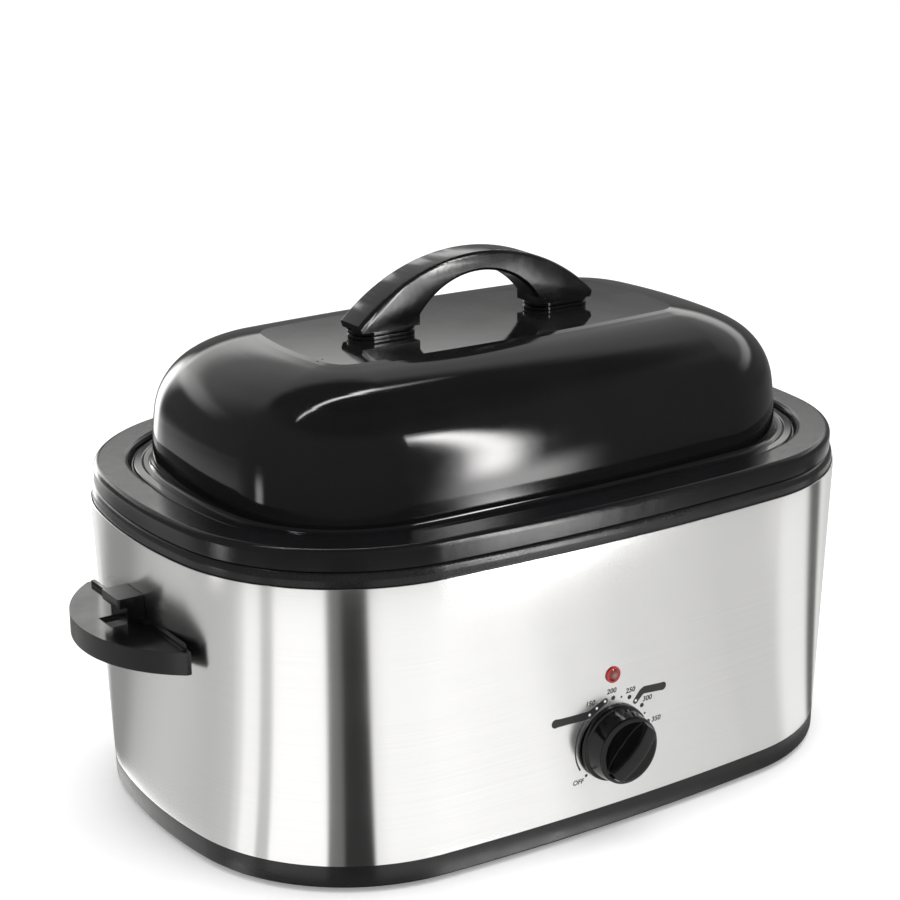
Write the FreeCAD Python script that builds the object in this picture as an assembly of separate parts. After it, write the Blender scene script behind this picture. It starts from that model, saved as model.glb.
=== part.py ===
import FreeCAD, Part
import os
import math

from FreeCAD import Vector as V

os.makedirs("parts", exist_ok=True)

# Electric roaster oven. Millimetres, +Z up, X along the length, the control
# panel faces -Y, the origin is in the middle of the plane of the feet.

# ---------------------------------------------------------------- dimensions
HALF_L = 255.0        # half length of the housing outline at the base
HALF_W = 173.3        # half width of the housing outline at the base
R_CORNER = 128.3      # corner radius of the outline
R_END = 378.0         # radius of the bowed ends
R_SIDE = 1700.0       # radius of the bowed long sides
FOOT_H = 3.0          # feet stand out below the base skirt
SKIRT_TOP = 18.6      # top of the black base skirt
STEEL_TOP = 208.3     # top edge of the steel wrap
TAPER_BOT = 0.55      # outline offset of the wrap at the skirt
TAPER_TOP = 7.16      # outline offset of the wrap at its top edge
STEEL_T = 0.8
RIM_TOP = 218.2       # top of the black housing rim
SEAT_GAP = 0.3        # clearance between pieces that only rest on each other

PAN_OUT = 3.95        # outline offset of the pan's outer lip
PAN_TOP = 232.3       # top of the pan rim
PAN_LEDGE = 226.0     # ledge that carries the lid
PAN_FLOOR = 67.0      # inside floor of the pan
PAN_T = 1.3
WELL_T = 1.0
WELL_FLOOR = 56.5
LID_T = 1.0
LID_TOP = 315.6

KNOB_X, KNOB_Z = -5.2, 65.6
LENS_X, LENS_Z = -7.5, 114.6
SHAFT_R = 3.0

WIRE_R = 2.0          # rack frame wire
ROD_R = 1.5           # rack long wires, cross bars and bails
RACK_X = 173.0        # end wires of the rack
GRID_Z = 79.4         # grid level of the rack, seated in the pan
ROD_Y = (-66.0, -33.0, 0.0, 33.0, 66.0)
BAIL_Y = 75.0         # pivot eyes of the bails
BAIL_H = 85.0         # height of a bail above its pivot
EYE_R = 4.2           # centreline radius of a bail's eye

HANDLE_HALF = 96.0    # half length of the lid handle
HANDLE_W = 26.0
HANDLE_H = 44.0

PAN_RAISE, RACK_RAISE, LID_RAISE = 77.0, 151.0, 84.0   # travel, for reference

# ------------------------------------------------------------------- outline
E_C = HALF_L - R_END
S_C = HALF_W - R_SIDE


def corner_centre():
    # the corner circle touches the end circle and the side circle inside
    r1, r2 = R_END - R_CORNER, R_SIDE - R_CORNER
    dx, dy = -E_C, S_C
    d = math.hypot(dx, dy)
    a = (r1 * r1 - r2 * r2 + d * d) / (2 * d)
    h = math.sqrt(r1 * r1 - a * a)
    mx, my = E_C + a * dx / d, a * dy / d
    best = None
    for s in (1, -1):
        x, y = mx - s * h * dy / d, my + s * h * dx / d
        if x > 0 and y > 0:
            best = (x, y)
    return best


CX, CY = corner_centre()
ANG_E = math.atan2(CY, CX - E_C)
ANG_S = math.atan2(CY - S_C, CX)


def half_width(x, d=0.0):
    # half width of the outline, offset by d, at a place x along the length
    x = abs(x)
    xs = (R_SIDE + d) * math.cos(ANG_S)
    if x <= xs:
        return S_C + math.sqrt((R_SIDE + d) ** 2 - x * x)
    xc = E_C + (R_END + d) * math.cos(ANG_E)
    if x <= xc:
        return CY + math.sqrt((R_CORNER + d) ** 2 - (x - CX) ** 2)
    return math.sqrt((R_END + d) ** 2 - (x - E_C) ** 2)


def outline(d, z):
    # closed wire of eight arcs, parallel to the base outline at a distance d
    re, rc, rs = R_END + d, R_CORNER + d, R_SIDE + d

    def pe(a):
        return (E_C + re * math.cos(a), re * math.sin(a))

    def pc(a):
        return (CX + rc * math.cos(a), CY + rc * math.sin(a))

    def ps(a):
        return (rs * math.cos(a), S_C + rs * math.sin(a))

    e0, c0, c1, c2, s0 = pe(0), pc(ANG_E), pc((ANG_E + ANG_S) / 2), pc(ANG_S), ps(math.pi / 2)

    def p(q, sx, sy):
        return V(sx * q[0], sy * q[1], z)

    arcs = [
        (p(c0, 1, -1), p(e0, 1, 1), p(c0, 1, 1)),
        (p(c0, 1, 1), p(c1, 1, 1), p(c2, 1, 1)),
        (p(c2, 1, 1), p(s0, 1, 1), p(c2, -1, 1)),
        (p(c2, -1, 1), p(c1, -1, 1), p(c0, -1, 1)),
        (p(c0, -1, 1), p(e0, -1, 1), p(c0, -1, -1)),
        (p(c0, -1, -1), p(c1, -1, -1), p(c2, -1, -1)),
        (p(c2, -1, -1), p(s0, 1, -1), p(c2, 1, -1)),
        (p(c2, 1, -1), p(c1, 1, -1), p(c0, 1, -1)),
    ]
    return Part.Wire([Part.Arc(*a).toShape() for a in arcs])


def belt(p, q):
    # faces between two parallel outlines
    w1, w2 = outline(*p), outline(*q)
    if abs(p[1] - q[1]) < 1e-6:
        big, small = (w1, w2) if p[0] > q[0] else (w2, w1)
        return [Part.makeFace([big, small], "Part::FaceMakerBullseye")]
    return [Part.makeRuledSurface(a, b) for a, b in zip(w1.Edges, w2.Edges)]


def to_solid(faces):
    shell = Part.makeShell(faces)
    shell.sewShape()
    s = Part.makeSolid(Part.Shell(shell.Faces))
    if s.Volume < 0:
        s.reverse()
    return s


def ring(section):
    # ring with a closed section of (offset, z) points
    faces = []
    n = len(section)
    for i in range(n):
        faces += belt(section[i], section[(i + 1) % n])
    return to_solid(faces)


def thicken(pts, t):
    # parallel line on the left of the way the points run
    out = []
    n = len(pts)
    for i in range(n):
        dirs = []
        if i > 0:
            dirs.append((pts[i][0] - pts[i - 1][0], pts[i][1] - pts[i - 1][1]))
        if i < n - 1:
            dirs.append((pts[i + 1][0] - pts[i][0], pts[i + 1][1] - pts[i][1]))
        ns = []
        for dx, dy in dirs:
            l = math.hypot(dx, dy)
            ns.append((-dy / l, dx / l))
        mx = sum(k[0] for k in ns) / len(ns)
        my = sum(k[1] for k in ns) / len(ns)
        m2 = mx * mx + my * my
        out.append((pts[i][0] + mx / m2 * t, pts[i][1] + my / m2 * t))
    return out


def vessel(pts, t):
    # sheet of thickness t below the line of points; the last point closes in a
    # flat floor (or roof)
    other = thicken(pts, t)
    other[-1] = (pts[-1][0], other[-1][1])
    faces = []
    for line in (pts, other):
        for a, b in zip(line[:-1], line[1:]):
            faces += belt(a, b)
        faces.append(Part.Face(outline(*line[-1])))
    faces += belt(pts[0], other[0])
    return to_solid(faces)


def block(d0, z0, d1, z1):
    w0, w1 = outline(d0, z0), outline(d1, z1)
    return to_solid(belt((d0, z0), (d1, z1)) + [Part.Face(w0), Part.Face(w1)])


def wrap_offset(z):
    return TAPER_BOT + (TAPER_TOP - TAPER_BOT) * (z - SKIRT_TOP) / (STEEL_TOP - SKIRT_TOP)


def cyl(x, y, z, r, h, axis):
    return Part.makeCylinder(r, h, V(x, y, z), V(*axis))


def box(x0, x1, y0, y1, z0, z1):
    return Part.makeBox(x1 - x0, y1 - y0, z1 - z0, V(x0, y0, z0))


def rod(points, r, closed=False):
    # bent wire: straight runs with ball joints at the bends
    pts = [V(*p) for p in points]
    pairs = list(zip(pts[:-1], pts[1:]))
    if closed:
        pairs.append((pts[-1], pts[0]))
    parts = []
    for a, b in pairs:
        dvec = b.sub(a)
        parts.append(Part.makeCylinder(r, dvec.Length, a, dvec))
    for p in (pts if closed else pts[1:-1]):
        parts.append(Part.makeSphere(r, p))
    return parts[0].multiFuse(parts[1:])


def save(name, shapes):
    if not isinstance(shapes, (list, tuple)):
        shapes = [shapes]
    solids = []
    for s in shapes:
        solids += s.Solids
    for s in solids:
        if not s.isValid():
            print("INVALID", name)
    shape = solids[0] if len(solids) == 1 else Part.makeCompound(solids)
    bb = shape.optimalBoundingBox(False, False)
    print(name, len(solids), "solids", round(shape.Volume), "mm3",
          [round(v, 1) for v in (bb.XMin, bb.YMin, bb.ZMin, bb.XMax, bb.YMax, bb.ZMax)])
    shape.exportStep("parts/" + name + ".step")


# ------------------------------------------------------------ base and casing
screw_xy = [(sx * x, sy * y) for x, y in ((212.0, 62.0), (95.0, 152.0)) for sx in (1, -1) for sy in (1, -1)]
foot_xy = [(sx * 172.0, sy * 98.0) for sx in (1, -1) for sy in (1, -1)]
post_xy = [(sx * 120.0, sy * 62.0) for sx in (1, -1) for sy in (1, -1)]

skirt = ring([(-0.8, 3.0), (0.1, 4.2), (0.5, SKIRT_TOP), (-2.2, SKIRT_TOP), (-2.2, 5.5),
              (-30.0, 5.5), (-30.0, 3.0)])
plate = block(-2.5, 5.5, -2.5, 6.7)
for x, y in screw_xy:
    hole = cyl(x, y, 0, 1.75, 10, (0, 0, 1))
    skirt = skirt.cut(hole)
    plate = plate.cut(hole)
for x, y in foot_xy:
    plate = plate.cut(cyl(x, y, 0, 4.1, 10, (0, 0, 1)))
for x, y in post_xy:
    plate = plate.cut(cyl(x, y, 0, 2.2, 10, (0, 0, 1)))
slots = []
for i in range(9):
    for sy in (-1, 1):
        slots.append(box(-84 + 20 * i, -76 + 20 * i, sy * 30 - 22, sy * 30 + 22, 5, 7.2))
plate = plate.cut(Part.makeCompound(slots))
save("base_skirt", skirt)
save("bottom_plate", plate)

feet = []
for x, y in foot_xy:
    f = cyl(x, y, 1.0, 11.0, 4.5, (0, 0, 1)).fuse(Part.makeCone(10.0, 11.0, 1.0, V(x, y, 0)))
    f = f.multiFuse([cyl(x, y, 5.0, 4.0, 3.0, (0, 0, 1)), Part.makeCone(5.6, 3.4, 3.0, V(x, y, 6.75))])
    feet.append(f.removeSplitter())
save("feet", feet)

screws = []
for x, y in screw_xy:
    s = cyl(x, y, 1.4, 3.6, 1.58, (0, 0, 1)).fuse(cyl(x, y, 2.9, 1.65, 8.0, (0, 0, 1)))
    s = s.cut(box(x - 2.6, x + 2.6, y - 0.4, y + 0.4, 1.3, 2.1))
    s = s.cut(box(x - 0.4, x + 0.4, y - 2.6, y + 2.6, 1.3, 2.1))
    screws.append(s.removeSplitter())
save("base_screws", screws)

posts = []
for x, y in post_xy:
    posts.append(cyl(x, y, 6.75, 6.0, 48.7, (0, 0, 1)))
save("well_posts", posts)
psc = []
for x, y in post_xy:
    psc.append(cyl(x, y, 3.2, 4.0, 2.25, (0, 0, 1)).fuse(cyl(x, y, 5.4, 2.0, 1.3, (0, 0, 1))))
save("post_screws", psc)

wrap = ring([(wrap_offset(SKIRT_TOP) - 0.05, SKIRT_TOP + 0.05), (TAPER_TOP, STEEL_TOP),
             (TAPER_TOP - STEEL_T, STEEL_TOP), (wrap_offset(SKIRT_TOP) - 0.05 - STEEL_T, SKIRT_TOP + 0.05)])
wall_y = HALF_W + wrap_offset(KNOB_Z)
lens_y = HALF_W + wrap_offset(LENS_Z)
GLAND_Z = 44.0
gland_y = HALF_W + wrap_offset(GLAND_Z)
wrap = wrap.cut(cyl(KNOB_X, -200, KNOB_Z, 5.0, 60, (0, 1, 0)))
wrap = wrap.cut(cyl(LENS_X, -200, LENS_Z, 5.2, 60, (0, 1, 0)))
wrap = wrap.cut(cyl(0, 140, GLAND_Z, 7.1, 60, (0, 1, 0)))
HS_Y, HS_Z = 42.0, 146.0
for sx in (-1, 1):
    for sy in (-1, 1):
        wrap = wrap.cut(cyl(sx * 240, sy * HS_Y, HS_Z, 2.3, 40, (sx, 0, 0)))
save("outer_wrap", wrap)

rim = ring([(5.8, 203.0), (5.8, 213.4), (5.0, 216.5), (2.4, RIM_TOP), (-9.0, RIM_TOP), (-10.8, 217.2),
            (-11.4, 211.4), (-12.6, 210.4), (-22.0, 210.4), (-22.6, 209.6), (-22.0, 208.8), (-11.2, 208.8), (-9.6, 210.2),
            (-9.2, 215.4), (-8.0, 216.2), (1.6, 216.2), (3.4, 215.2), (4.2, 212.6), (4.2, 203.0)])
save("top_rim", rim)

well = vessel([(-3.0, 208.6), (-23.5, 208.6), (-26.4, 207.4), (-28.2, 204.4), (-29.4, 160.0), (-30.0, 76.0),
               (-32.4, 66.0), (-38.6, 59.2), (-47.0, WELL_FLOOR)], WELL_T)
save("inner_well", well)

band = ring([(-28.0, 88.0), (-27.6, 158.0), (-26.6, 158.0), (-27.0, 88.0)])
save("heating_band", band)
blanket = ring([(-25.6, 96.0), (-25.2, 176.0), (-12.0, 176.0), (-12.4, 96.0)])
save("insulation_blanket", blanket)
clips = []
for sx in (-1, 1):
    for z in (100.0, 144.0):
        c = ring([(-26.4, z), (-26.4, z + 8.0), (-25.75, z + 8.0), (-25.75, z)])
        clips.append(c.common(box(sx * 236 - 30, sx * 236 + 30, -26, 26, z - 5, z + 15)))
save("heater_clips", clips)

# reinforcing plates behind the side handles, bowed like the wall
for side, sx in (("left", -1), ("right", 1)):
    zb0, zb1 = 134.0, 158.0
    b = ring([(wrap_offset(zb0) - STEEL_T - 1.7, zb0), (wrap_offset(zb1) - STEEL_T - 1.7, zb1),
              (wrap_offset(zb1) - STEEL_T - 0.1, zb1), (wrap_offset(zb0) - STEEL_T - 0.1, zb0)])
    b = b.common(box(min(sx * 230, sx * 280), max(sx * 230, sx * 280), -54, 54, 130, 162))
    for sy in (-1, 1):
        b = b.cut(cyl(sx * 240, sy * HS_Y, HS_Z, 2.3, 40, (sx, 0, 0)))
    save("handle_backing_" + side, b)

# ---------------------------------------------------------------- side handles
env = block(wrap_offset(110) + 0.1, 110.0, wrap_offset(200) + 0.1, 200.0)
SH_TOP, SH_T = 155.0, 15.5
for side, sx in (("left", -1), ("right", 1)):
    a, m, c = V(sx * 262.0, 74.0, 0), V(sx * 299.5, 0, 0), V(sx * 262.0, -74.0, 0)
    arc = Part.Arc(a, m, c).toShape()
    # flat back; the bowed wall meets it only in the middle
    q1, q2 = V(sx * 259.0, -74.0, 0), V(sx * 259.0, 74.0, 0)
    w = Part.Wire([arc, Part.makeLine(c, q1), Part.makeLine(q1, q2), Part.makeLine(q2, a)])
    shelf = Part.Face(w).extrude(V(0, 0, SH_T))
    shelf.translate(V(0, 0, SH_TOP - SH_T))
    # hollow underside between the outer wall and the back web
    a2, m2, c2 = V(sx * 270.0, 58.0, 0), V(sx * 295.6, 0, 0), V(sx * 270.0, -58.0, 0)
    under = Part.Face(Part.Wire([Part.Arc(a2, m2, c2).toShape(), Part.makeLine(c2, a2)])).extrude(V(0, 0, 11.5))
    under.translate(V(0, 0, SH_TOP - SH_T - 0.5))
    body = shelf.cut(under)
    x_in, x_post, x_lip = sx * 250.0, sx * 273.0, sx * 279.0
    post = box(min(x_in, x_post), max(x_in, x_post), -12.5, 12.5, SH_TOP - 2, 168.0)
    head = box(min(x_in, x_lip), max(x_in, x_lip), -12.5, 12.5, 167.0, 173.5)
    lip = box(min(sx * 259.0, sx * 262.0), max(sx * 259.0, sx * 262.0), -68.0, 68.0, SH_TOP - 1, SH_TOP + 3.2)
    rib = box(min(sx * 259.0, sx * 266.0), max(sx * 259.0, sx * 266.0), -24.0, 24.0, SH_TOP - 1, SH_TOP + 3.2)
    # spacers round the screws, out to the wall
    bosses = [cyl(sx * 252.0, sy * HS_Y, HS_Z, 5.0, 8.0, (sx, 0, 0)) for sy in (-1, 1)]
    body = body.multiFuse([post, head, lip, rib] + bosses)
    notch = box(min(sx * 273.0, sx * 283.0), max(sx * 273.0, sx * 283.0), -9.5, 9.5, SH_TOP - SH_T - 1, SH_TOP + 1)
    body = body.cut(notch).cut(env)
    for sy in (-1, 1):
        body = body.cut(cyl(sx * 240, sy * HS_Y, HS_Z, 2.05, 26.5, (sx, 0, 0)))
    body = body.removeSplitter()
    vert = [e for e in body.Edges if abs(e.BoundBox.ZLength) > 4 and e.BoundBox.XLength < 0.01
            and e.BoundBox.YLength < 0.01 and e.BoundBox.ZMin > SH_TOP + 1 and abs(e.BoundBox.Center.x) > 270]
    try:
        body2 = body.makeFillet(1.6, vert)
        if body2.isValid():
            body = body2
    except Exception as err:
        print("no fillet", side, err)
    save("side_handle_" + side, body)
hs = []
for sx in (-1, 1):
    for sy in (-1, 1):
        xi = 253.0
        s = cyl(sx * (xi - 3.0), sy * HS_Y, HS_Z, 4.2, 2.4, (sx, 0, 0)).fuse(
            cyl(sx * (xi - 1.0), sy * HS_Y, HS_Z, 2.0, 13.0, (sx, 0, 0)))
        hs.append(s.removeSplitter())
save("side_handle_screws", hs)

# ------------------------------------------------------------- control parts
tb_y = -wall_y + STEEL_T
bracket = box(KNOB_X - 19, KNOB_X + 19, tb_y + 0.8, tb_y + 2.0, KNOB_Z - 15, KNOB_Z + 15)
bracket = bracket.cut(cyl(KNOB_X, tb_y - 1, KNOB_Z, 5.0, 5, (0, 1, 0)))
save("thermostat_bracket", bracket)
tbody = box(KNOB_X - 14, KNOB_X + 14, tb_y + 2.05, tb_y + 20.0, KNOB_Z - 12, KNOB_Z + 12)
tbody = tbody.fuse(cyl(KNOB_X, tb_y + 0.4, KNOB_Z, 4.6, 3.0, (0, 1, 0)))
for dx in (-8, 8):
    tbody = tbody.fuse(box(KNOB_X + dx - 3, KNOB_X + dx + 3, tb_y + 19.9, tb_y + 27.0, KNOB_Z - 0.5, KNOB_Z + 0.5))
tbody = tbody.cut(cyl(KNOB_X, tb_y - 2, KNOB_Z, SHAFT_R + 0.05, 13.0, (0, 1, 0)))
save("thermostat_body", tbody.removeSplitter())
shaft = cyl(KNOB_X, tb_y + 10.5, KNOB_Z, SHAFT_R, 26.5, (0, -1, 0))
flat = box(KNOB_X - 4, KNOB_X + 4, tb_y - 17, tb_y - 5.5, KNOB_Z + 2.0, KNOB_Z + 4)
shaft = shaft.cut(flat)
save("thermostat_shaft", shaft)

ky = -wall_y - 1.2          # back of the knob
knob = Part.makeCone(26.6, 25.8, 4.0, V(KNOB_X, ky, KNOB_Z), V(0, -1, 0))
knob = knob.fuse(Part.makeCone(24.6, 23.2, 12.0, V(KNOB_X, ky - 4.0, KNOB_Z), V(0, -1, 0)))
knob = knob.fuse(Part.makeCone(23.2, 20.8, 2.0, V(KNOB_X, ky - 16.0, KNOB_Z), V(0, -1, 0)))
grip = Part.makeBox(44.0, 10.0, 11.5, V(-22.0, -27.0, -5.75))
cap = Part.makeCylinder(22.0, 10.0, V(0, -17.0, 0), V(0, -1, 0))
grip = grip.common(cap)
OFF_ANG = 225.0            # the grip points at OFF, low on the left
grip.rotate(V(0, 0, 0), V(0, 1, 0), -OFF_ANG)
grip.translate(V(KNOB_X, ky, KNOB_Z))
knob = knob.fuse(grip)
socket = cyl(KNOB_X, ky + 1, KNOB_Z, SHAFT_R + 0.05, 15.6, (0, -1, 0))
keep = box(KNOB_X - 5, KNOB_X + 5, ky - 20, ky - 4.0, KNOB_Z + 2.1, KNOB_Z + 5)
knob = knob.cut(socket.cut(keep))
save("control_knob", knob.removeSplitter())

lens = Part.makeCone(5.9, 4.6, 1.6, V(LENS_X, -lens_y - 1.65, LENS_Z), V(0, -1, 0))
lens = lens.fuse(cyl(LENS_X, -lens_y - 0.3, LENS_Z, 6.6, 1.4, (0, -1, 0)))
lens = lens.fuse(cyl(LENS_X, -lens_y - 0.3, LENS_Z, 5.1, 9.0, (0, 1, 0)))
lens = lens.cut(cyl(LENS_X, -lens_y + 1.5, LENS_Z, 3.6, 12, (0, 1, 0)))
save("indicator_lens", lens.removeSplitter())
lamp = cyl(LENS_X, -lens_y + 1.8, LENS_Z, 3.0, 9.0, (0, 1, 0)).fuse(Part.makeSphere(3.0, V(LENS_X, -lens_y + 4.6, LENS_Z)))
save("indicator_lamp", lamp.removeSplitter())
nut = cyl(LENS_X, -lens_y + STEEL_T + 0.5, LENS_Z, 8.0, 1.6, (0, 1, 0)).cut(
    cyl(LENS_X, -lens_y - 2, LENS_Z, 5.15, 10, (0, 1, 0)))
save("lens_retainer", nut)

# --------------------------------------------------- inlet and wiring, inside
gl = cyl(0, gland_y + 0.45, GLAND_Z, 10.0, 3.1, (0, 1, 0)).fuse(cyl(0, gland_y - 6.0, GLAND_Z, 7.0, 8.0, (0, 1, 0)))
gl = gl.fuse(cyl(0, gland_y - 6.0, GLAND_Z, 9.0, 4.4, (0, 1, 0)))
gl = gl.fuse(Part.makeCone(8.0, 6.2, 4.0, V(0, gland_y + 3.5, GLAND_Z), V(0, 1, 0)))
gl = gl.cut(cyl(0, gland_y - 12, GLAND_Z, 3.75, 30, (0, 1, 0)))
save("cord_gland", gl.removeSplitter())
tblock = box(-22, 22, 118, 134, 6.75, 24).cut(box(-18, -8, 116, 136, 17, 25)).cut(
    box(-5, 5, 116, 136, 17, 25)).cut(box(8, 18, 116, 136, 17, 25))
save("terminal_block", tblock.removeSplitter())
bulb = cyl(-50, -40, 51.0, 3.0, 90, (1, 0, 0))
save("sensing_bulb", bulb)
holder = []
for x in (-40, 20):
    holder.append(box(x, x + 10, -50, -30, 54.0, 55.35).fuse(
        cyl(x, -40, 51.0, 4.2, 10, (1, 0, 0))).cut(cyl(x - 1, -40, 51.0, 3.05, 12, (1, 0, 0))))
save("bulb_clips", holder)
cap_tube = rod([(-50.05, -40, 51.0), (-62, -40, 51.0), (-72, -58, 44), (-70, -96, 36), (-52, -128, 42), (-32, -141, 58), (-24.0, -144.0, 63.0)], 1.0)
save("capillary_tube", cap_tube)
fuse_body = cyl(70, 20, 51.2, 3.2, 26, (1, 0, 0)).fuse(cyl(58, 20, 51.2, 0.9, 50, (1, 0, 0)))
save("thermal_fuse", fuse_body.removeSplitter())
leads = [
    rod([(-13, 112, 20.5), (-16, 92, 20), (-40, 60, 16), (-44, 0, 12), (-40, -70, 14), (-22, -118, 34), (-13.2, -143.6, 60.0)], 1.4),
    rod([(13, 112, 20.5), (16, 96, 20), (40, 60, 18), (52, 36, 34), (55, 20, 51.2)], 1.4),
    rod([(2.8, -141.5, 60.0), (16, -124, 44), (70, -104, 24), (150, -96, 22), (204, -56, 34), (229.9, -12, 70), (229.9, -8, 93)], 1.4),
]
save("lead_wires", leads)

# ---------------------------------------------------------------- roasting pan
pan = vessel([(PAN_OUT, RIM_TOP + SEAT_GAP), (PAN_OUT, 228.6), (3.0, 231.0), (0.8, PAN_TOP), (-17.6, PAN_TOP),
              (-19.6, 231.2), (-20.6, 227.0), (-21.6, PAN_LEDGE), (-37.2, PAN_LEDGE), (-38.2, 227.2), (-39.8, 227.2),
              (-41.6, 225.0), (-42.4, 214.0), (-43.4, 92.0), (-45.2, 80.0), (-50.0, 71.6), (-60.0, PAN_FLOOR)], PAN_T)
save("roasting_pan", pan)

# ------------------------------------------------------------------------ rack
g = GRID_Z
frame_pts = [(RACK_X, -84, g), (RACK_X, 84, g), (168, 93, g - 0.4), (158, 99.5, g - 3.0), (136, 103.5, g - 9.6), (128, 104, g - 10),
             (-128, 104, g - 10), (-136, 103.5, g - 9.6), (-158, 99.5, g - 3.0), (-168, 93, g - 0.4), (-RACK_X, 84, g),
             (-RACK_X, -84, g), (-168, -93, g - 0.4), (-158, -99.5, g - 3.0), (-136, -103.5, g - 9.6), (-128, -104, g - 10),
             (128, -104, g - 10), (136, -103.5, g - 9.6), (158, -99.5, g - 3.0), (168, -93, g - 0.4)]
save("rack_frame", rod(frame_pts, WIRE_R, closed=True))
rods = []
for i, y in enumerate(ROD_Y):
    x1 = RACK_X - WIRE_R - 0.02
    if i in (0, 2, 4):
        rods.append(rod([(-x1, y, g), (-13, y, g), (-10.5, y, g - 1.6), (-2.5, y, g - 10.0), (2.5, y, g - 10.0),
                         (10.5, y, g - 1.6), (13, y, g), (x1, y, g)], ROD_R))
    else:
        rods.append(rod([(-x1, y, g), (x1, y, g)], ROD_R))
save("rack_rods", rods)
zc = g - 2 * ROD_R - 0.02
bars = []
for sx in (-1, 1):
    bars.append(rod([(sx * 166, -70.5, zc - 0.7), (sx * 154, -66, zc), (sx * 154, 66, zc), (sx * 166, 70.5, zc - 0.7)], ROD_R))
save("rack_cross_bars", bars)


def bail(sx):
    # upright shape in the plane of its end wire, then laid inward about the wire
    e = EYE_R
    loops = []
    for sy in (-1, 1):
        y = sy * BAIL_Y
        loops.append(rod([(-e, y, 12), (-e, y, -6.0), (-0.7 * e, y, -8.9), (0, y, -10.2), (0.7 * e, y, -8.9),
                          (e, y, -6.0), (e, y, 4.6), (0.6 * e, y, 7.8), (-e + 0.6, y, 10.0)], ROD_R))
    yoke = rod([(-e, -BAIL_Y, 12), (-e, -BAIL_Y, 29), (-e, -34, 80), (-e, -30, 84), (-e, -25, BAIL_H), (-e, 25, BAIL_H),
                (-e, 30, 84), (-e, 34, 80), (-e, BAIL_Y, 29), (-e, BAIL_Y, 12)], ROD_R)
    b = yoke.multiFuse(loops)
    b.rotate(V(0, 0, 0), V(0, 1, 0), 90)      # now points along +X, above the wire
    if sx > 0:
        b.rotate(V(0, 0, 0), V(0, 0, 1), 180)
    b.translate(V(sx * RACK_X, 0, g))
    return b


save("rack_bail_left", bail(-1))
save("rack_bail_right", bail(1))

# ------------------------------------------------------------------------- lid
seat = PAN_LEDGE + SEAT_GAP
lid = vessel([(-22.6, seat), (-22.6, seat + 1.9), (-23.6, seat + 3.0), (-28.6, seat + 3.4), (-29.8, seat + 2.4), (-33.6, seat + 2.4),
              (-35.2, seat + 4.2), (-36.2, 238.0), (-37.2, 256.0), (-39.4, 271.0), (-42.8, 280.6), (-48.4, 289.6),
              (-56.4, 297.6), (-67.4, 304.4), (-80.6, 309.6), (-94.6, 313.2), (-107.0, 315.0), (-112.0, LID_TOP)], LID_T)
for sx in (-1, 1):
    lid = lid.cut(cyl(sx * 74, 0, 300, 2.6, 30, (0, 0, 1)))
vent = box(-3.2, 3.2, -0.9, 0.9, 0, 12)
vent.rotate(V(0, 0, 0), V(0, 0, 1), 24)
vent.translate(V(-140.0, -36.0, 306.0))
lid = lid.cut(vent)
save("lid_shell", lid)

pz = LID_TOP + 0.03
pads = []
for sx in (-1, 1):
    p = box(-24, 24, -13, 13, 0, 5.4)
    edges = [ed for ed in p.Edges if ed.BoundBox.ZLength > 5]
    p = p.makeFillet(11.5, edges)
    core = box(-23, 23, -12, 12, 0, 6)
    core = core.makeFillet(10.5, [ed for ed in core.Edges if ed.BoundBox.ZLength > 5])
    groove = box(-26, 26, -15, 15, 2.2, 3.1).cut(core)
    p = p.cut(groove)
    p.translate(V(sx * 72.0, 0, pz))
    p = p.cut(cyl(sx * 74, 0, pz - 1, 2.6, 10, (0, 0, 1)))
    pads.append(p)
save("lid_handle_pads", pads)

hz = pz + 5.45
h1, h2, h3 = V(-HANDLE_HALF, 0, 5.0), V(0, 0, HANDLE_H), V(HANDLE_HALF, 0, 5.0)
i1, i2, i3 = V(49.0, 0, 5.0), V(0, 0, 30.5), V(-49.0, 0, 5.0)
prof = Part.Wire([
    Part.Arc(h1, h2, h3).toShape(),
    Part.makeLine(h3, V(HANDLE_HALF - 2, 0, 0)), Part.makeLine(V(HANDLE_HALF - 2, 0, 0), V(49.0, 0, 0)),
    Part.makeLine(V(49.0, 0, 0), i1), Part.Arc(i1, i2, i3).toShape(), Part.makeLine(i3, V(-49.0, 0, 0)),
    Part.makeLine(V(-49.0, 0, 0), V(-HANDLE_HALF + 2, 0, 0)), Part.makeLine(V(-HANDLE_HALF + 2, 0, 0), h1)])
bar = Part.Face(prof).extrude(V(0, HANDLE_W, 0))
bar.translate(V(0, -HANDLE_W / 2, hz))
try:
    long_edges = [ed for ed in bar.Edges if ed.BoundBox.XLength > 80 and ed.BoundBox.ZLength > 10
                  and ed.BoundBox.YLength < 0.1]
    b2 = bar.makeFillet(2.4, long_edges)
    if b2.isValid():
        bar = b2
except Exception as err:
    print("no handle fillet", err)
for sx in (-1, 1):
    bar = bar.cut(cyl(sx * 74, 0, hz - 1, 2.05, 13, (0, 0, 1)))
save("lid_handle", bar)
ls = []
lw = []
for sx in (-1, 1):
    zt = LID_TOP - LID_T
    ls.append(cyl(sx * 74, 0, zt - 3.6, 4.0, 2.3, (0, 0, 1)).fuse(cyl(sx * 74, 0, zt - 1.4, 2.0, 18.5, (0, 0, 1))).removeSplitter())
    lw.append(cyl(sx * 74, 0, zt - 1.28, 6.0, 1.2, (0, 0, 1)).cut(cyl(sx * 74, 0, zt - 3, 2.2, 6, (0, 0, 1))))
save("lid_handle_screws", ls)
save("lid_handle_washers", lw)
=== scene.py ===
import math

import bpy
import bmesh
from mathutils import Matrix, Vector


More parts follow.
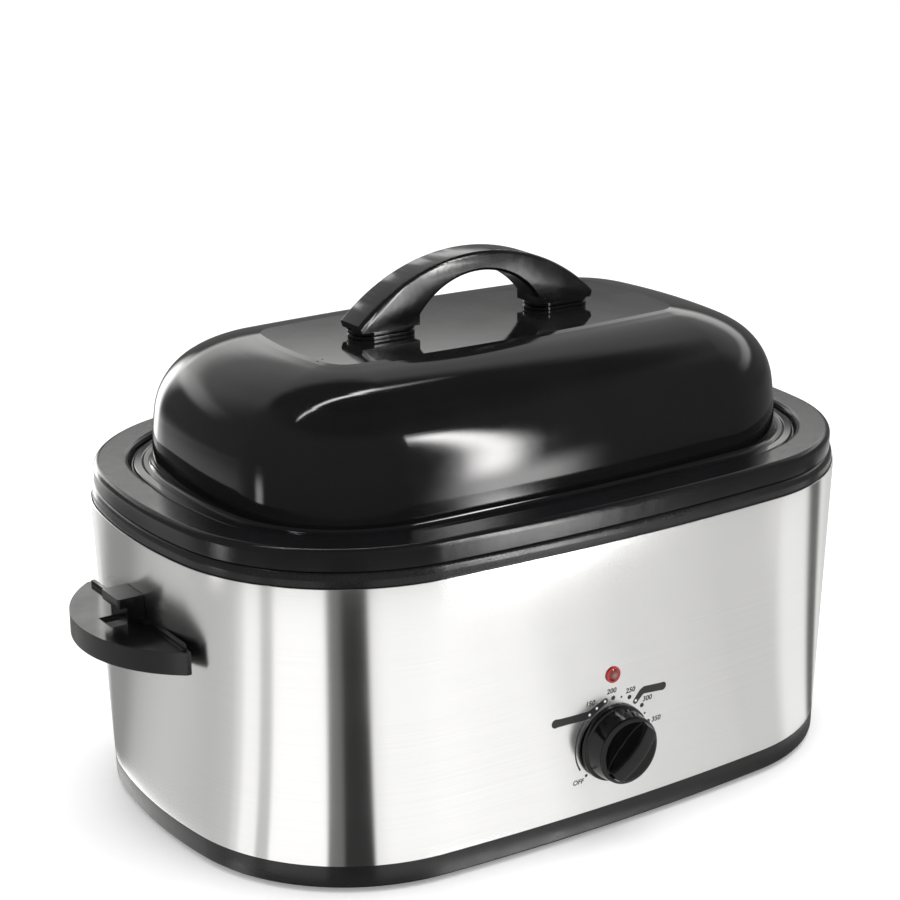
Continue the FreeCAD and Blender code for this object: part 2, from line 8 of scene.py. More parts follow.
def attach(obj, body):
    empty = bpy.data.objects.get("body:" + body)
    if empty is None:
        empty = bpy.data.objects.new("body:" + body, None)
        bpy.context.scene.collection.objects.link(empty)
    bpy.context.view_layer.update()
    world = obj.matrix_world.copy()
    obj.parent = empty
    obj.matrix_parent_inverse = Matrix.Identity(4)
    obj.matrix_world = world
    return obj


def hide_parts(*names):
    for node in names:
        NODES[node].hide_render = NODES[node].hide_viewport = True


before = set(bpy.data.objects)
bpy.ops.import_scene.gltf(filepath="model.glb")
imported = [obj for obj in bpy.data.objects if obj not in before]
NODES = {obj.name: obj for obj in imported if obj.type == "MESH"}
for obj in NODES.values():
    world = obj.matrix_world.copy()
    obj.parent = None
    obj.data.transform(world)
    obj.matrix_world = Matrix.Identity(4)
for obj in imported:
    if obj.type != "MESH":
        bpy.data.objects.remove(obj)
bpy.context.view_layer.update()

MM = 0.001

# ---------------------------------------------------------------- dimensions
# millimetres, as in the CAD model
HALF_L, HALF_W = 255.0, 173.3
R_CORNER, R_END, R_SIDE = 128.3, 378.0, 1700.0
SKIRT_TOP, STEEL_TOP = 18.6, 208.3
TAPER_BOT, TAPER_TOP = 0.55, 7.16
STEEL_T = 0.8
GRID_Z = 79.4
RACK_X = 173.0
WIRE_R, ROD_R = 2.0, 1.5
KNOB_X, KNOB_Z = -5.2, 65.6
LENS_X, LENS_Z = -7.5, 114.6

E_C = HALF_L - R_END
S_C = HALF_W - R_SIDE


def corner_centre():
    r1, r2 = R_END - R_CORNER, R_SIDE - R_CORNER
    dx, dy = -E_C, S_C
    d = math.hypot(dx, dy)
    a = (r1 * r1 - r2 * r2 + d * d) / (2 * d)
    h = math.sqrt(r1 * r1 - a * a)
    mx, my = E_C + a * dx / d, a * dy / d
    best = None
    for s in (1, -1):
        x, y = mx - s * h * dy / d, my + s * h * dx / d
        if x > 0 and y > 0:
            best = (x, y)
    return best


CX, CY = corner_centre()
ANG_E = math.atan2(CY, CX - E_C)
ANG_S = math.atan2(CY - S_C, CX)


def half_width(x, d=0.0):
    x = abs(x)
    xs = (R_SIDE + d) * math.cos(ANG_S)
    if x <= xs:
        return S_C + math.sqrt((R_SIDE + d) ** 2 - x * x)
    xc = E_C + (R_END + d) * math.cos(ANG_E)
    if x <= xc:
        return CY + math.sqrt((R_CORNER + d) ** 2 - (x - CX) ** 2)
    return math.sqrt((R_END + d) ** 2 - (x - E_C) ** 2)


def wrap_offset(z):
    return TAPER_BOT + (TAPER_TOP - TAPER_BOT) * (z - SKIRT_TOP) / (STEEL_TOP - SKIRT_TOP)


def outline_samples():
    # the outline as arcs: centre, radius and direction of each sample, so that
    # every offset of it has matching points
    out = []

    def arc(cx, cy, r, a0, a1, n):
        for i in range(n):
            a = a0 + (a1 - a0) * i / n
            out.append((cx, cy, r, math.cos(a), math.sin(a)))
    p = math.pi
    arc(E_C, 0, R_END, -ANG_E, ANG_E, 16)
    arc(CX, CY, R_CORNER, ANG_E, ANG_S, 48)
    arc(0, S_C, R_SIDE, ANG_S, p - ANG_S, 32)
    arc(-CX, CY, R_CORNER, p - ANG_S, p - ANG_E, 48)
    arc(-E_C, 0, R_END, p - ANG_E, p + ANG_E, 16)
    arc(-CX, -CY, R_CORNER, p + ANG_E, p + ANG_S, 48)
    arc(0, -S_C, R_SIDE, p + ANG_S, 2 * p - ANG_S, 32)
    arc(CX, -CY, R_CORNER, 2 * p - ANG_S, 2 * p - ANG_E, 48)
    return out


SAMPLES = outline_samples()


# --------------------------------------------------------------- sheet sweeps
def fillet_line(pts, radii, closed=False, step=9.0):
    """Line of (d, z) points with rounded corners, as (d, z, nd, nz) with exact
    normals on the right of the way it runs."""
    n = len(pts)
    if not isinstance(radii, (list, tuple)):
        radii = [radii] * n
    idx = range(n) if closed else range(1, n - 1)

    def seg(a, b):
        dx, dz = b[0] - a[0], b[1] - a[1]
        l = math.hypot(dx, dz)
        return dx / l, dz / l, l
    out = []
    if not closed:
        ux, uz, l = seg(pts[0], pts[1])
        out.append((pts[0][0], pts[0][1], uz, -ux))
    for i in idx:
        a, b, c = pts[(i - 1) % n], pts[i], pts[(i + 1) % n]
        ax, az, la = seg(a, b)
        bx, bz, lb = seg(b, c)
        dot = max(-1, min(1, ax * bx + az * bz))
        turn = math.acos(dot)
        if turn < 1e-4:
            continue
        t = min(radii[i] * math.tan(turn / 2), 0.49 * la, 0.49 * lb)
        r = t / math.tan(turn / 2)
        side = 1 if ax * bz - az * bx > 0 else -1
        sx, sz = b[0] - ax * t, b[1] - az * t
        cx, cz = sx - side * az * r, sz + side * ax * r
        k = max(2, int(math.ceil(math.degrees(turn) / step)))
        for j in range(k + 1):
            w = side * turn * j / k
            tx, tz = ax * math.cos(w) - az * math.sin(w), ax * math.sin(w) + az * math.cos(w)
            px, pz = cx + side * tz * r, cz - side * tx * r
            out.append((px, pz, tz, -tx))
    if not closed:
        ux, uz, l = seg(pts[-2], pts[-1])
        out.append((pts[-1][0], pts[-1][1], uz, -ux))
    else:
        out.append(out[0])
    return out


class Shell:
    """Collects swept strips with exact normals and makes one mesh of them."""

    def __init__(self):
        self.v, self.n, self.f = [], [], []

    def strip(self, line, flip=False):
        k = len(SAMPLES)
        base = len(self.v)
        for d, z, nd, nz in line:
            for cx, cy, r, ux, uy in SAMPLES:
                self.v.append(((cx + (r + d) * ux) * MM, (cy + (r + d) * uy) * MM, z * MM))
                s = -1 if flip else 1
                self.n.append((s * nd * ux, s * nd * uy, s * nz))
        for i in range(len(line) - 1):
            for j in range(k):
                a, b = base + i * k + j, base + i * k + (j + 1) % k
                c, e = b + k, a + k
                self.f.append((a, b, c, e) if not flip else (a, e, c, b))
        return base + (len(line) - 1) * k

    def cap(self, d, z, up, rings=5):
        # flat floor or roof of shrinking outlines, closed across the middle
        k = len(SAMPLES)
        nz = 1 if up else -1
        base = len(self.v)
        for i in range(rings + 1):
            t = i / (rings + 1)
            for cx, cy, r, ux, uy in SAMPLES:
                x, y = cx + (r + d) * ux, cy + (r + d) * uy
                self.v.append((x * (1 - t * 0.9) * MM, y * (1 - t) * MM, z * MM))
                self.n.append((0, 0, nz))
        for i in range(rings):
            for j in range(k):
                a, b = base + i * k + j, base + i * k + (j + 1) % k
                c, e = b + k, a + k
                self.f.append((a, b, c, e) if up else (a, e, c, b))
        last = list(range(base + rings * k, base + rings * k + k))
        self.f.append(tuple(last if up else reversed(last)))

    def make(self, name):
        me = bpy.data.meshes.new(name)
        me.from_pydata(self.v, [], self.f)
        me.polygons.foreach_set("use_smooth", [True] * len(me.polygons))
        me.update()
        me.normals_split_custom_set_from_vertices(self.n)
        o = bpy.data.objects.new(name, me)
        bpy.context.scene.collection.objects.link(o)
        return o


def offset_line(line, t):
    return [(d - nd * t, z - nz * t, nd, nz) for d, z, nd, nz in line]


def edge_line(p, q):
    # the thin edge of a sheet, rounded over
    mx, mz = (p[0] + q[0]) / 2, (p[1] + q[1]) / 2
    vx, vz = p[0] - mx, p[1] - mz
    r = math.hypot(vx, vz)
    ux, uz = vx / r, vz / r
    wx, wz = uz, -ux
    return mx, mz, r, (ux, uz), (wx, wz)


def vessel(name, pts, radii, t, up, step=9.0):
    """Sheet of thickness t whose shown side is the line pts, ending in a flat
    floor or roof."""
    line = fillet_line(pts, radii, step=step)
    s = Shell()
    other = offset_line(line, t)
    end_d = line[-1][0]
    last = other[-1]
    other[-1] = (end_d, last[1], last[2], last[3])
    # the normals of fillet_line point to the right of the run
    s.strip(line, flip=False)
    s.strip(other, flip=True)
    s.cap(line[-1][0], line[-1][1], True)
    s.cap(other[-1][0], other[-1][1], False)
    a, b = line[0], other[0]
    ex, ez = a[0] - b[0], a[1] - b[1]
    l = math.hypot(ex, ez)
    nx, nz = -ez / l, ex / l
    s.strip([(b[0], b[1], nx, nz), (a[0], a[1], nx, nz)])
    return s.make(name)


def ring(name, pts, radii, step=12.0):
    line = fillet_line(pts, radii, closed=True, step=step)
    s = Shell()
    s.strip(line)
    return s.make(name)


def fix_faces(o):
    # counts the faces that disagree with the outward side; none are turned
    me = o.data
    nn = [tuple(x.vector) for x in me.corner_normals]
    bm = bmesh.new()
    bm.from_mesh(me)
    bm.faces.ensure_lookup_table()
    li = 0
    flip = []
    for f in bm.faces:
        k = len(f.loops)
        avg = Vector((0, 0, 0))
        for j in range(k):
            avg += Vector(nn[li + j])
        li += k
        if f.normal.dot(avg) < 0:
            flip.append(f)
    n = len(flip)
    bm.free()
    return n


# ------------------------------------------------------------------ wire work
def fillet3(points, r, closed=False, step=12.0):
    pts = [Vector(p) for p in points]
    n = len(pts)
    out = []
    idx = range(n) if closed else range(1, n - 1)
    if not closed:
        out.append(pts[0])
    for i in idx:
        a, b, c = pts[(i - 1) % n], pts[i], pts[(i + 1) % n]
        u, v = (b - a), (c - b)
        lu, lv = u.length, v.length
        u.normalize()
        v.normalize()
        turn = u.angle(v)
        if turn < 1e-3:
            out.append(b)
            continue
        t = min(r * math.tan(turn / 2), 0.49 * lu, 0.49 * lv)
        rr = t / math.tan(turn / 2)
        w = (v - u * u.dot(v)).normalized()
        k = max(2, int(math.ceil(math.degrees(turn) / step)))
        for j in range(k + 1):
            an = turn * j / k
            out.append(b - u * t + u * (rr * math.sin(an)) + w * (rr * (1 - math.cos(an))))
    if not closed:
        out.append(pts[-1])
    return out


def tube_into(bm, path, r, closed=False, seg=16, round_ends=True):
    n = len(path)
    tang = []
    for i in range(n):
        a = path[(i - 1) % n] if (closed or i > 0) else path[i]
        b = path[(i + 1) % n] if (closed or i < n - 1) else path[i]
        tang.append((b - a).normalized())
    up = Vector((0, 0, 1))
    if abs(tang[0].dot(up)) > 0.9:
        up = Vector((0, 1, 0))
    nrm = (up - tang[0] * up.dot(tang[0])).normalized()
    frames = []
    prev = tang[0]
    for t in tang:
        q = prev.rotation_difference(t)
        nrm = (q @ nrm)
        nrm = (nrm - t * nrm.dot(t)).normalized()
        frames.append((nrm.copy(), t.cross(nrm)))
        prev = t
    stations = [(path[i], frames[i], r, tang[i]) for i in range(n)]
    if closed:
        # the frame's twist over the whole loop is spread along it
        a0 = frames[0][0]
        q = tang[-1].rotation_difference(tang[0])
        an = q @ frames[-1][0]
        twist = math.atan2(an.cross(a0).dot(tang[0]), an.dot(a0))
        total = sum((path[(i + 1) % n] - path[i]).length for i in range(n))
        run = 0.0
        for i in range(n):
            q = Matrix.Rotation(twist * run / total, 3, tang[i])
            stations[i] = (path[i], (q @ frames[i][0], q @ frames[i][1]), r, tang[i])
            run += (path[(i + 1) % n] - path[i]).length
    elif round_ends:
        s0, s1 = stations[0], stations[-1]
        head, tail = [], []
        for k in (0.25, 0.6, 0.9):
            w = math.sqrt(max(0.0, 1 - k * k))
            head.insert(0, (s0[0] + s0[3] * (r * 0.35 * (1 - k)), s0[1], r * w, s0[3]))
            tail.append((s1[0] - s1[3] * (r * 0.35 * (1 - k)), s1[1], r * w, s1[3]))
        stations[0] = (s0[0] + s0[3] * (r * 0.4), s0[1], r, s0[3])
        stations[-1] = (s1[0] - s1[3] * (r * 0.4), s1[1], r, s1[3])
        stations = head + stations + tail
    rings = []
    for p, (a, b), rr, _t in stations:
        rings.append([bm.verts.new(p + a * (rr * math.cos(2 * math.pi * k / seg)) + b * (rr * math.sin(2 * math.pi * k / seg)))
                      for k in range(seg)])
    m = len(rings)
    for i in range(m if closed else m - 1):
        r0, r1 = rings[i], rings[(i + 1) % m]
        for k in range(seg):
            bm.faces.new((r0[k], r0[(k + 1) % seg], r1[(k + 1) % seg], r1[k])).smooth = True
    if not closed:
        bm.faces.new(list(reversed(rings[0])))
        bm.faces.new(rings[-1])


def tubes(name, items, seg=16):
    bm = bmesh.new()
    for pts, r, bend, closed in items:
        path = fillet3([Vector(p) * MM for p in pts], bend * MM, closed)
        tube_into(bm, path, r * MM, closed, seg)
    bmesh.ops.recalc_face_normals(bm, faces=bm.faces[:])
    me = bpy.data.meshes.new(name)
    bm.to_mesh(me)
    bm.free()
    o = bpy.data.objects.new(name, me)
    bpy.context.scene.collection.objects.link(o)
    return o


# --------------------------------------------------------- rounded CAD copies
def soften(node, width, angle=28.0, segments=3, merge=0.004, name=None):
    """A copy of a CAD node with its flat faces joined and its edges rounded."""
    me = NODES[node].data.copy()
    bm = bmesh.new()
    bm.from_mesh(me)
    bmesh.ops.remove_doubles(bm, verts=bm.verts[:], dist=merge * MM)
    bmesh.ops.dissolve_limit(bm, angle_limit=math.radians(0.6), verts=bm.verts[:], edges=bm.edges[:])
    for f in bm.faces:
        f.smooth = True
    bm.to_mesh(me)
    bm.free()
    me.materials.clear()
    for nm in ("custom_normal",):
        if me.attributes.get(nm):
            me.attributes.remove(me.attributes[nm])
    o = bpy.data.objects.new(name or (node + "_look"), me)
    bpy.context.scene.collection.objects.link(o)
    b = o.modifiers.new("round", "BEVEL")
    b.width = width * MM
    b.segments = segments
    b.limit_method = "ANGLE"
    b.angle_limit = math.radians(angle)
    b.harden_normals = True
    b.use_clamp_overlap = True
    return o


def revolve(name, profile, centre, seg=96, axis="y"):
    """Turned piece: (r, a) profile, a measured along -Y from the centre."""
    bm = bmesh.new()
    rows = []
    for r, a in profile:
        row = []
        for k in range(seg):
            w = 2 * math.pi * k / seg
            row.append(bm.verts.new(((centre[0] + r * math.cos(w)) * MM, (centre[1] - a) * MM,
                                     (centre[2] + r * math.sin(w)) * MM)))
        rows.append(row)
    for i in range(len(rows) - 1):
        for k in range(seg):
            bm.faces.new((rows[i][k], rows[i][(k + 1) % seg], rows[i + 1][(k + 1) % seg], rows[i + 1][k])).smooth = True
    bm.faces.new(rows[0])
    bm.faces.new(rows[-1])
    bmesh.ops.recalc_face_normals(bm, faces=bm.faces[:])
    me = bpy.data.meshes.new(name)
    bm.to_mesh(me)
    bm.free()
    o = bpy.data.objects.new(name, me)
    bpy.context.scene.collection.objects.link(o)
    return o


def weighted(o):
    m = o.modifiers.new("even", "WEIGHTED_NORMAL")
    m.keep_sharp = True
    return o


# ------------------------------------------------------------------ materials
class Mat:
    """Small helper round a node tree."""

    def __init__(self, name):
        self.m = bpy.data.materials.new(name)
        self.m.use_nodes = True
        self.t = self.m.node_tree
        self.t.nodes.clear()
        self.out = self.t.nodes.new("ShaderNodeOutputMaterial")
        self.bsdf = self.t.nodes.new("ShaderNodeBsdfPrincipled")
        self.t.links.new(self.bsdf.outputs[0], self.out.inputs[0])
        self.co = self.t.nodes.new("ShaderNodeTexCoord")

    def link(self, a, b):
        self.t.links.new(a, b)

    def set(self, **kw):
        for k, v in kw.items():
            self.bsdf.inputs[k.replace("_", " ")].default_value = v

    def place(self, scale):
        mp = self.t.nodes.new("ShaderNodeMapping")
        self.link(self.co.outputs["Object"], mp.inputs["Vector"])
        mp.inputs["Scale"].default_value = scale if isinstance(scale, (tuple, list)) else (scale,) * 3
        return mp.outputs[0]

    def noise(self, scale, detail=3.0, rough=0.5, kind="noise"):
        v = self.place(scale)
        if kind == "noise":
            n = self.t.nodes.new("ShaderNodeTexNoise")
            n.inputs["Scale"].default_value = 1.0
            n.inputs["Detail"].default_value = detail
            n.inputs["Roughness"].default_value = rough
            self.link(v, n.inputs["Vector"])
            return n.outputs["Fac"]
        n = self.t.nodes.new("ShaderNodeTexVoronoi")
        n.inputs["Scale"].default_value = 1.0
        self.link(v, n.inputs["Vector"])
        return n.outputs["Distance"]

    def remap(self, src, a, b, c, d):
        r = self.t.nodes.new("ShaderNodeMapRange")
        for k, val in zip(("From Min", "From Max", "To Min", "To Max"), (a, b, c, d)):
            r.inputs[k].default_value = val
        self.link(src, r.inputs["Value"])
        return r.outputs["Result"]

    def ramp(self, src, stops):
        r = self.t.nodes.new("ShaderNodeValToRGB")
        el = r.color_ramp.elements
        while len(el) < len(stops):
            el.new(0.5)
        for e, (p, c) in zip(el, stops):
            e.position = p
            e.color = (*c, 1.0)
        self.link(src, r.inputs["Fac"])
        return r.outputs["Color"]

    def add(self, a, b, op="ADD"):
        m = self.t.nodes.new("ShaderNodeMath")
        m.operation = op
        for i, x in enumerate((a, b)):
            if isinstance(x, (int, float)):
                m.inputs[i].default_value = x
            else:
                self.link(x, m.inputs[i])
        return m.outputs[0]

    def bump(self, heights):
        # (source, strength, distance in metres), one after the other
        prev = None
        for src, strength, dist in heights:
            b = self.t.nodes.new("ShaderNodeBump")
            b.inputs["Strength"].default_value = strength
            b.inputs["Distance"].default_value = dist
            self.link(src, b.inputs["Height"])
            if prev:
                self.link(prev, b.inputs["Normal"])
            prev = b.outputs["Normal"]
        self.link(prev, self.bsdf.inputs["Normal"])


def enamel(name, dark, light, rough, peel, peel_scale, grain, speck=0.0):
    m = Mat(name)
    cloud = m.noise(16.0, 4.0)
    fine = m.noise(900.0, 2.0)
    mix = m.add(m.add(cloud, 0.5, "MULTIPLY"), m.add(fine, 0.5, "MULTIPLY"))
    m.link(m.ramp(mix, [(0.3, dark), (0.75, light)]), m.bsdf.inputs["Base Color"])
    smear = m.noise((38.0, 30.0, 55.0), 5.0, 0.6)
    r = m.remap(smear, 0.3, 0.75, rough[0], rough[1])
    r = m.add(r, m.remap(m.noise(2400.0, 1.0), 0.4, 0.8, 0.0, 0.025))
    m.link(r, m.bsdf.inputs["Roughness"])
    m.bump([(m.noise(peel_scale, 2.0), peel, 0.0006), (m.noise(1500.0, 2.0), grain, 0.00012)])
    m.set(IOR=1.4)
    return m.m


def moulded(name, dark, light, rough, pebble=0.25, scale=1600.0, ior=1.5, coat=0.0):
    m = Mat(name)
    c = m.noise(60.0, 4.0)
    m.link(m.ramp(c, [(0.3, dark), (0.75, light)]), m.bsdf.inputs["Base Color"])
    sm = m.noise((55.0, 55.0, 80.0), 4.0, 0.6)
    m.link(m.remap(sm, 0.3, 0.75, rough[0], rough[1]), m.bsdf.inputs["Roughness"])
    m.bump([(m.noise(120.0, 2.0), 0.12, 0.0004), (m.noise(scale, 2.0), pebble, 0.00008)])
    m.set(IOR=ior)
    if coat:
        m.set(Coat_Weight=coat, Coat_Roughness=0.06)
    return m.m


def metal(name, dark, light, rough, grain=(900.0, 900.0, 900.0), strength=0.2, blotch=30.0):
    m = Mat(name)
    m.set(Metallic=1.0)
    c = m.noise(blotch, 4.0)
    g = m.noise(grain, 3.0)
    mix = m.add(m.add(c, 0.6, "MULTIPLY"), m.add(g, 0.4, "MULTIPLY"))
    m.link(m.ramp(mix, [(0.3, dark), (0.72, light)]), m.bsdf.inputs["Base Color"])
    m.link(m.remap(g, 0.3, 0.75, rough[0], rough[1]), m.bsdf.inputs["Roughness"])
    m.bump([(g, strength, 0.00005), (m.noise(9.0, 2.0), 0.1, 0.0015)])
    return m.m


def brushed_wall():
    m = Mat("stainless_brushed")
    m.set(Metallic=1.0, Anisotropic=0.72, Anisotropic_Rotation=0.25)
    long_grain = m.noise((4.5, 4.5, 2400.0), 4.0, 0.6)
    mid_grain = m.noise((26.0, 26.0, 5200.0), 2.0, 0.55)
    cloud = m.noise((5.0, 5.0, 14.0), 3.0)
    tone = m.add(m.add(long_grain, 0.5, "MULTIPLY"), m.add(mid_grain, 0.3, "MULTIPLY"))
    tone = m.add(tone, m.add(cloud, 0.2, "MULTIPLY"))
    m.link(m.ramp(tone, [(0.25, (0.80, 0.80, 0.795)), (0.5, (0.845, 0.845, 0.84)), (0.75, (0.885, 0.885, 0.88))]),
           m.bsdf.inputs["Base Color"])
    r = m.remap(long_grain, 0.25, 0.75, 0.2, 0.235)
    r = m.add(r, m.remap(cloud, 0.3, 0.7, -0.015, 0.02))
    m.link(r, m.bsdf.inputs["Roughness"])
    m.bump([(long_grain, 0.045, 0.00002), (mid_grain, 0.04, 0.000012), (m.noise((3.0, 3.0, 2.0), 1.0), 0.06, 0.002)])
    return m.m


def wire_metal(name="chrome_wire_look"):
    m = Mat(name)
    m.set(Metallic=0.28)
    c = m.noise(140.0, 3.0)
    m.link(m.ramp(c, [(0.3, (0.86, 0.857, 0.85)), (0.7, (0.96, 0.957, 0.95))]), m.bsdf.inputs["Base Color"])
    draw = m.noise((500.0, 500.0, 500.0), 3.0)
    m.link(m.remap(draw, 0.3, 0.75, 0.14, 0.26), m.bsdf.inputs["Roughness"])
    m.bump([(c, 0.18, 0.0002), (draw, 0.12, 0.00006)])
    return m.m


def lens_red():
    m = Mat("lens_red_look")
    # distance from the lens centre picks rim, wall and pale middle
    g = m.t.nodes.new("ShaderNodeVectorMath")
    g.operation = "SUBTRACT"
    m.link(m.co.outputs["Object"], g.inputs[0])
    g.inputs[1].default_value = (LENS_X * MM, 0.0, LENS_Z * MM)
    k = m.t.nodes.new("ShaderNodeVectorMath")
    k.operation = "MULTIPLY"
    m.link(g.outputs[0], k.inputs[0])
    k.inputs[1].default_value = (1.0, 0.0, 1.0)
    ln = m.t.nodes.new("ShaderNodeVectorMath")
    ln.operation = "LENGTH"
    m.link(k.outputs[0], ln.inputs[0])
    ring_n = m.remap(ln.outputs["Value"], 0.0, 0.0057, 0.0, 1.0)
    wob = m.add(ring_n, m.remap(m.noise(900.0, 2.0), 0.3, 0.7, -0.05, 0.05))
    col = m.ramp(wob, [(0.0, (0.30, 0.15, 0.12)), (0.3, (0.22, 0.07, 0.055)), (0.5, (0.12, 0.008, 0.008)),
                       (0.68, (0.2, 0.004, 0.005)), (0.84, (0.5, 0.012, 0.012)), (1.0, (0.26, 0.004, 0.006))])
    m.link(col, m.bsdf.inputs["Base Color"])
    m.link(m.remap(m.noise(700.0, 2.0), 0.3, 0.7, 0.05, 0.14), m.bsdf.inputs["Roughness"])
    m.bump([(m.noise(1100.0, 2.0), 0.2, 0.0001)])
    m.set(IOR=1.49, Coat_Weight=0.6, Coat_Roughness=0.04, Subsurface_Weight=0.25, Subsurface_Scale=0.002)
    return m.m


def ink():
    m = Mat("dial_ink")
    n = m.noise(2600.0, 2.0)
    m.link(m.ramp(n, [(0.3, (0.006, 0.006, 0.006)), (0.8, (0.02, 0.02, 0.021))]), m.bsdf.inputs["Base Color"])
    m.link(m.remap(n, 0.3, 0.8, 0.38, 0.55), m.bsdf.inputs["Roughness"])
    m.bump([(n, 0.1, 0.00003)])
    return m.m


def bare_dot():
    m = Mat("badge_dot")
    n = m.noise(2600.0, 2.0)
    m.link(m.ramp(n, [(0.3, (0.78, 0.78, 0.78)), (0.8, (0.9, 0.9, 0.9))]), m.bsdf.inputs["Base Color"])
    m.link(m.remap(n, 0.3, 0.8, 0.4, 0.55), m.bsdf.inputs["Roughness"])
    m.bump([(n, 0.1, 0.00003)])
    return m.m


def blanket():
    m = Mat("fibre_blanket_look")
    n = m.noise((60.0, 60.0, 700.0), 5.0, 0.7)
    m.link(m.ramp(n, [(0.3, (0.62, 0.58, 0.46)), (0.7, (0.86, 0.83, 0.72))]), m.bsdf.inputs["Base Color"])
    m.link(m.remap(n, 0.3, 0.7, 0.85, 0.98), m.bsdf.inputs["Roughness"])
    m.bump([(n, 0.8, 0.0008), (m.noise(2200.0, 3.0), 0.5, 0.0003)])
    m.set(Sheen_Weight=0.3)
    return m.m


def mica():
    m = Mat("mica_band_look")
    n = m.noise((90.0, 90.0, 40.0), 4.0)
    m.link(m.ramp(n, [(0.3, (0.34, 0.25, 0.14)), (0.7, (0.6, 0.5, 0.33))]), m.bsdf.inputs["Base Color"])
    m.link(m.remap(n, 0.3, 0.7, 0.35, 0.6), m.bsdf.inputs["Roughness"])
    m.bump([(m.noise((30.0, 30.0, 600.0), 3.0), 0.4, 0.0004)])
    return m.m


M = {
    "lid": enamel("enamel_black_lid", (0.0035, 0.0035, 0.004), (0.008, 0.008, 0.0085), (0.035, 0.085), 0.022, 45.0, 0.05),
    "pan": enamel("enamel_black_pan", (0.0035, 0.0035, 0.004), (0.009, 0.009, 0.01), (0.11, 0.19), 0.10, 130.0, 0.35),
    "rim": enamel("rim_black_look", (0.006, 0.006, 0.0065), (0.014, 0.014, 0.015), (0.16, 0.26), 0.08, 110.0, 0.2),
    "well": enamel("enamel_black_liner", (0.006, 0.006, 0.0065), (0.013, 0.013, 0.014), (0.2, 0.32), 0.12, 120.0, 0.3),
    "base": enamel("base_black_look", (0.008, 0.008, 0.0085), (0.016, 0.016, 0.017), (0.25, 0.36), 0.1, 160.0, 0.25),
    "steel": brushed_wall(),
    "zinc": metal("zinc_steel_look", (0.42, 0.43, 0.44), (0.66, 0.67, 0.68), (0.22, 0.4)),
    "galv": metal("galvanised_look", (0.36, 0.37, 0.38), (0.58, 0.59, 0.6), (0.35, 0.55), (300.0, 300.0, 300.0), 0.3, 60.0),
    "rubber": moulded("rubber_black_look", (0.012, 0.012, 0.012), (0.03, 0.03, 0.03), (0.6, 0.8), 0.5, 2200.0),
    "phenolic": moulded("phenolic_black_look", (0.003, 0.003, 0.0031), (0.006, 0.006, 0.0062), (0.12, 0.2), 0.07, 1300.0, 1.45),
    "knob": moulded("knob_black_look", (0.0015, 0.0015, 0.0016), (0.004, 0.004, 0.0041), (0.07, 0.13), 0.05, 1300.0, 1.38),
    "handle": moulded("lid_handle_black_look", (0.003, 0.003, 0.0031), (0.006, 0.006, 0.0062), (0.1, 0.18), 0.06, 900.0, 1.45),
    "wire": wire_metal(),
    "lens": lens_red(),
    "lamp": moulded("lamp_glass_look", (0.75, 0.55, 0.4), (0.92, 0.75, 0.6), (0.04, 0.1), 0.05, 500.0, 1.5, 0.5),
    "blanket": blanket(),
    "mica": mica(),
    "ceramic": moulded("ceramic_white_look", (0.74, 0.73, 0.68), (0.87, 0.86, 0.82), (0.2, 0.4), 0.2, 800.0),
    "copper": metal("copper_look", (0.55, 0.27, 0.15), (0.8, 0.48, 0.32), (0.2, 0.38), (700.0, 700.0, 700.0)),
    "sleeve": moulded("sleeve_white_look", (0.66, 0.65, 0.6), (0.85, 0.84, 0.8), (0.6, 0.8), 0.6, 2600.0),
    # near-black colour of the vent slot sheet: painted shade standing in for the slot's opening in the lid
    "slot": moulded("vent_slot_painted_shade", (0.0006, 0.0006, 0.0006), (0.0016, 0.0016, 0.0016), (0.75, 0.9), 0.3, 2600.0, 1.2),
    "ink": ink(),
    "dot": bare_dot(),
}


def paint(o, m):
    o.data.materials.clear()
    o.data.materials.append(M[m])
    return o


CAD_LOOK = {
    "bottom_plate": "galv", "base_screws": "zinc", "well_posts": "zinc", "post_screws": "zinc",
    "heating_band": "mica", "insulation_blanket": "blanket", "heater_clips": "zinc",
    "handle_backing_left": "galv", "handle_backing_right": "galv", "side_handle_screws": "zinc",
    "thermostat_bracket": "galv", "thermostat_body": "ceramic", "indicator_lamp": "lamp", "lens_retainer": "zinc",
    "terminal_block": "ceramic", "sensing_bulb": "copper", "bulb_clips": "zinc", "capillary_tube": "copper",
    "thermal_fuse": "zinc", "lead_wires": "sleeve", "lid_handle_screws": "zinc", "lid_handle_washers": "zinc",
    "thermostat_shaft": "zinc",
}
for n, m in CAD_LOOK.items():
    ob = NODES[n]
    if not ob.data.materials:
        ob.data.materials.append(M[m])
    for i in range(len(ob.data.materials)):
        ob.data.materials[i] = M[m]


def done(o, mat, body, slot, *nodes):
    paint(o, mat)
    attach(o, body)
    if nodes:
        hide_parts(*nodes)
    return o


# ------------------------------------------------------------- housing sheets
w0 = wrap_offset(SKIRT_TOP)
wall = Shell()
zs = [SKIRT_TOP + 0.05, 22.0, 60.0, 110.0, 160.0, 204.0, STEEL_TOP - 0.25]
tilt = math.atan2(TAPER_TOP - TAPER_BOT, STEEL_TOP - SKIRT_TOP)
nd, nz = math.cos(tilt), -math.sin(tilt)
outer = [(wrap_offset(z) - (0.05 if z < 20 else 0.0), z, nd, nz) for z in zs]
top = [(TAPER_TOP - 0.02, STEEL_TOP - 0.25, nd, nz), (TAPER_TOP - 0.12, STEEL_TOP - 0.06, 0.7, 0.7),
       (TAPER_TOP - 0.3, STEEL_TOP, 0, 1), (TAPER_TOP - STEEL_T, STEEL_TOP, 0, 1)]
wall.strip(outer)
wall.strip(top)
inner = [(TAPER_TOP - STEEL_T, STEEL_TOP, -nd, -nz), (w0 - 0.05 - STEEL_T, SKIRT_TOP + 0.05, -nd, -nz)]
wall.strip(inner)
wall.strip([(w0 - 0.05 - STEEL_T, SKIRT_TOP + 0.05, 0, -1), (w0 - 0.05, SKIRT_TOP + 0.05, 0, -1)])
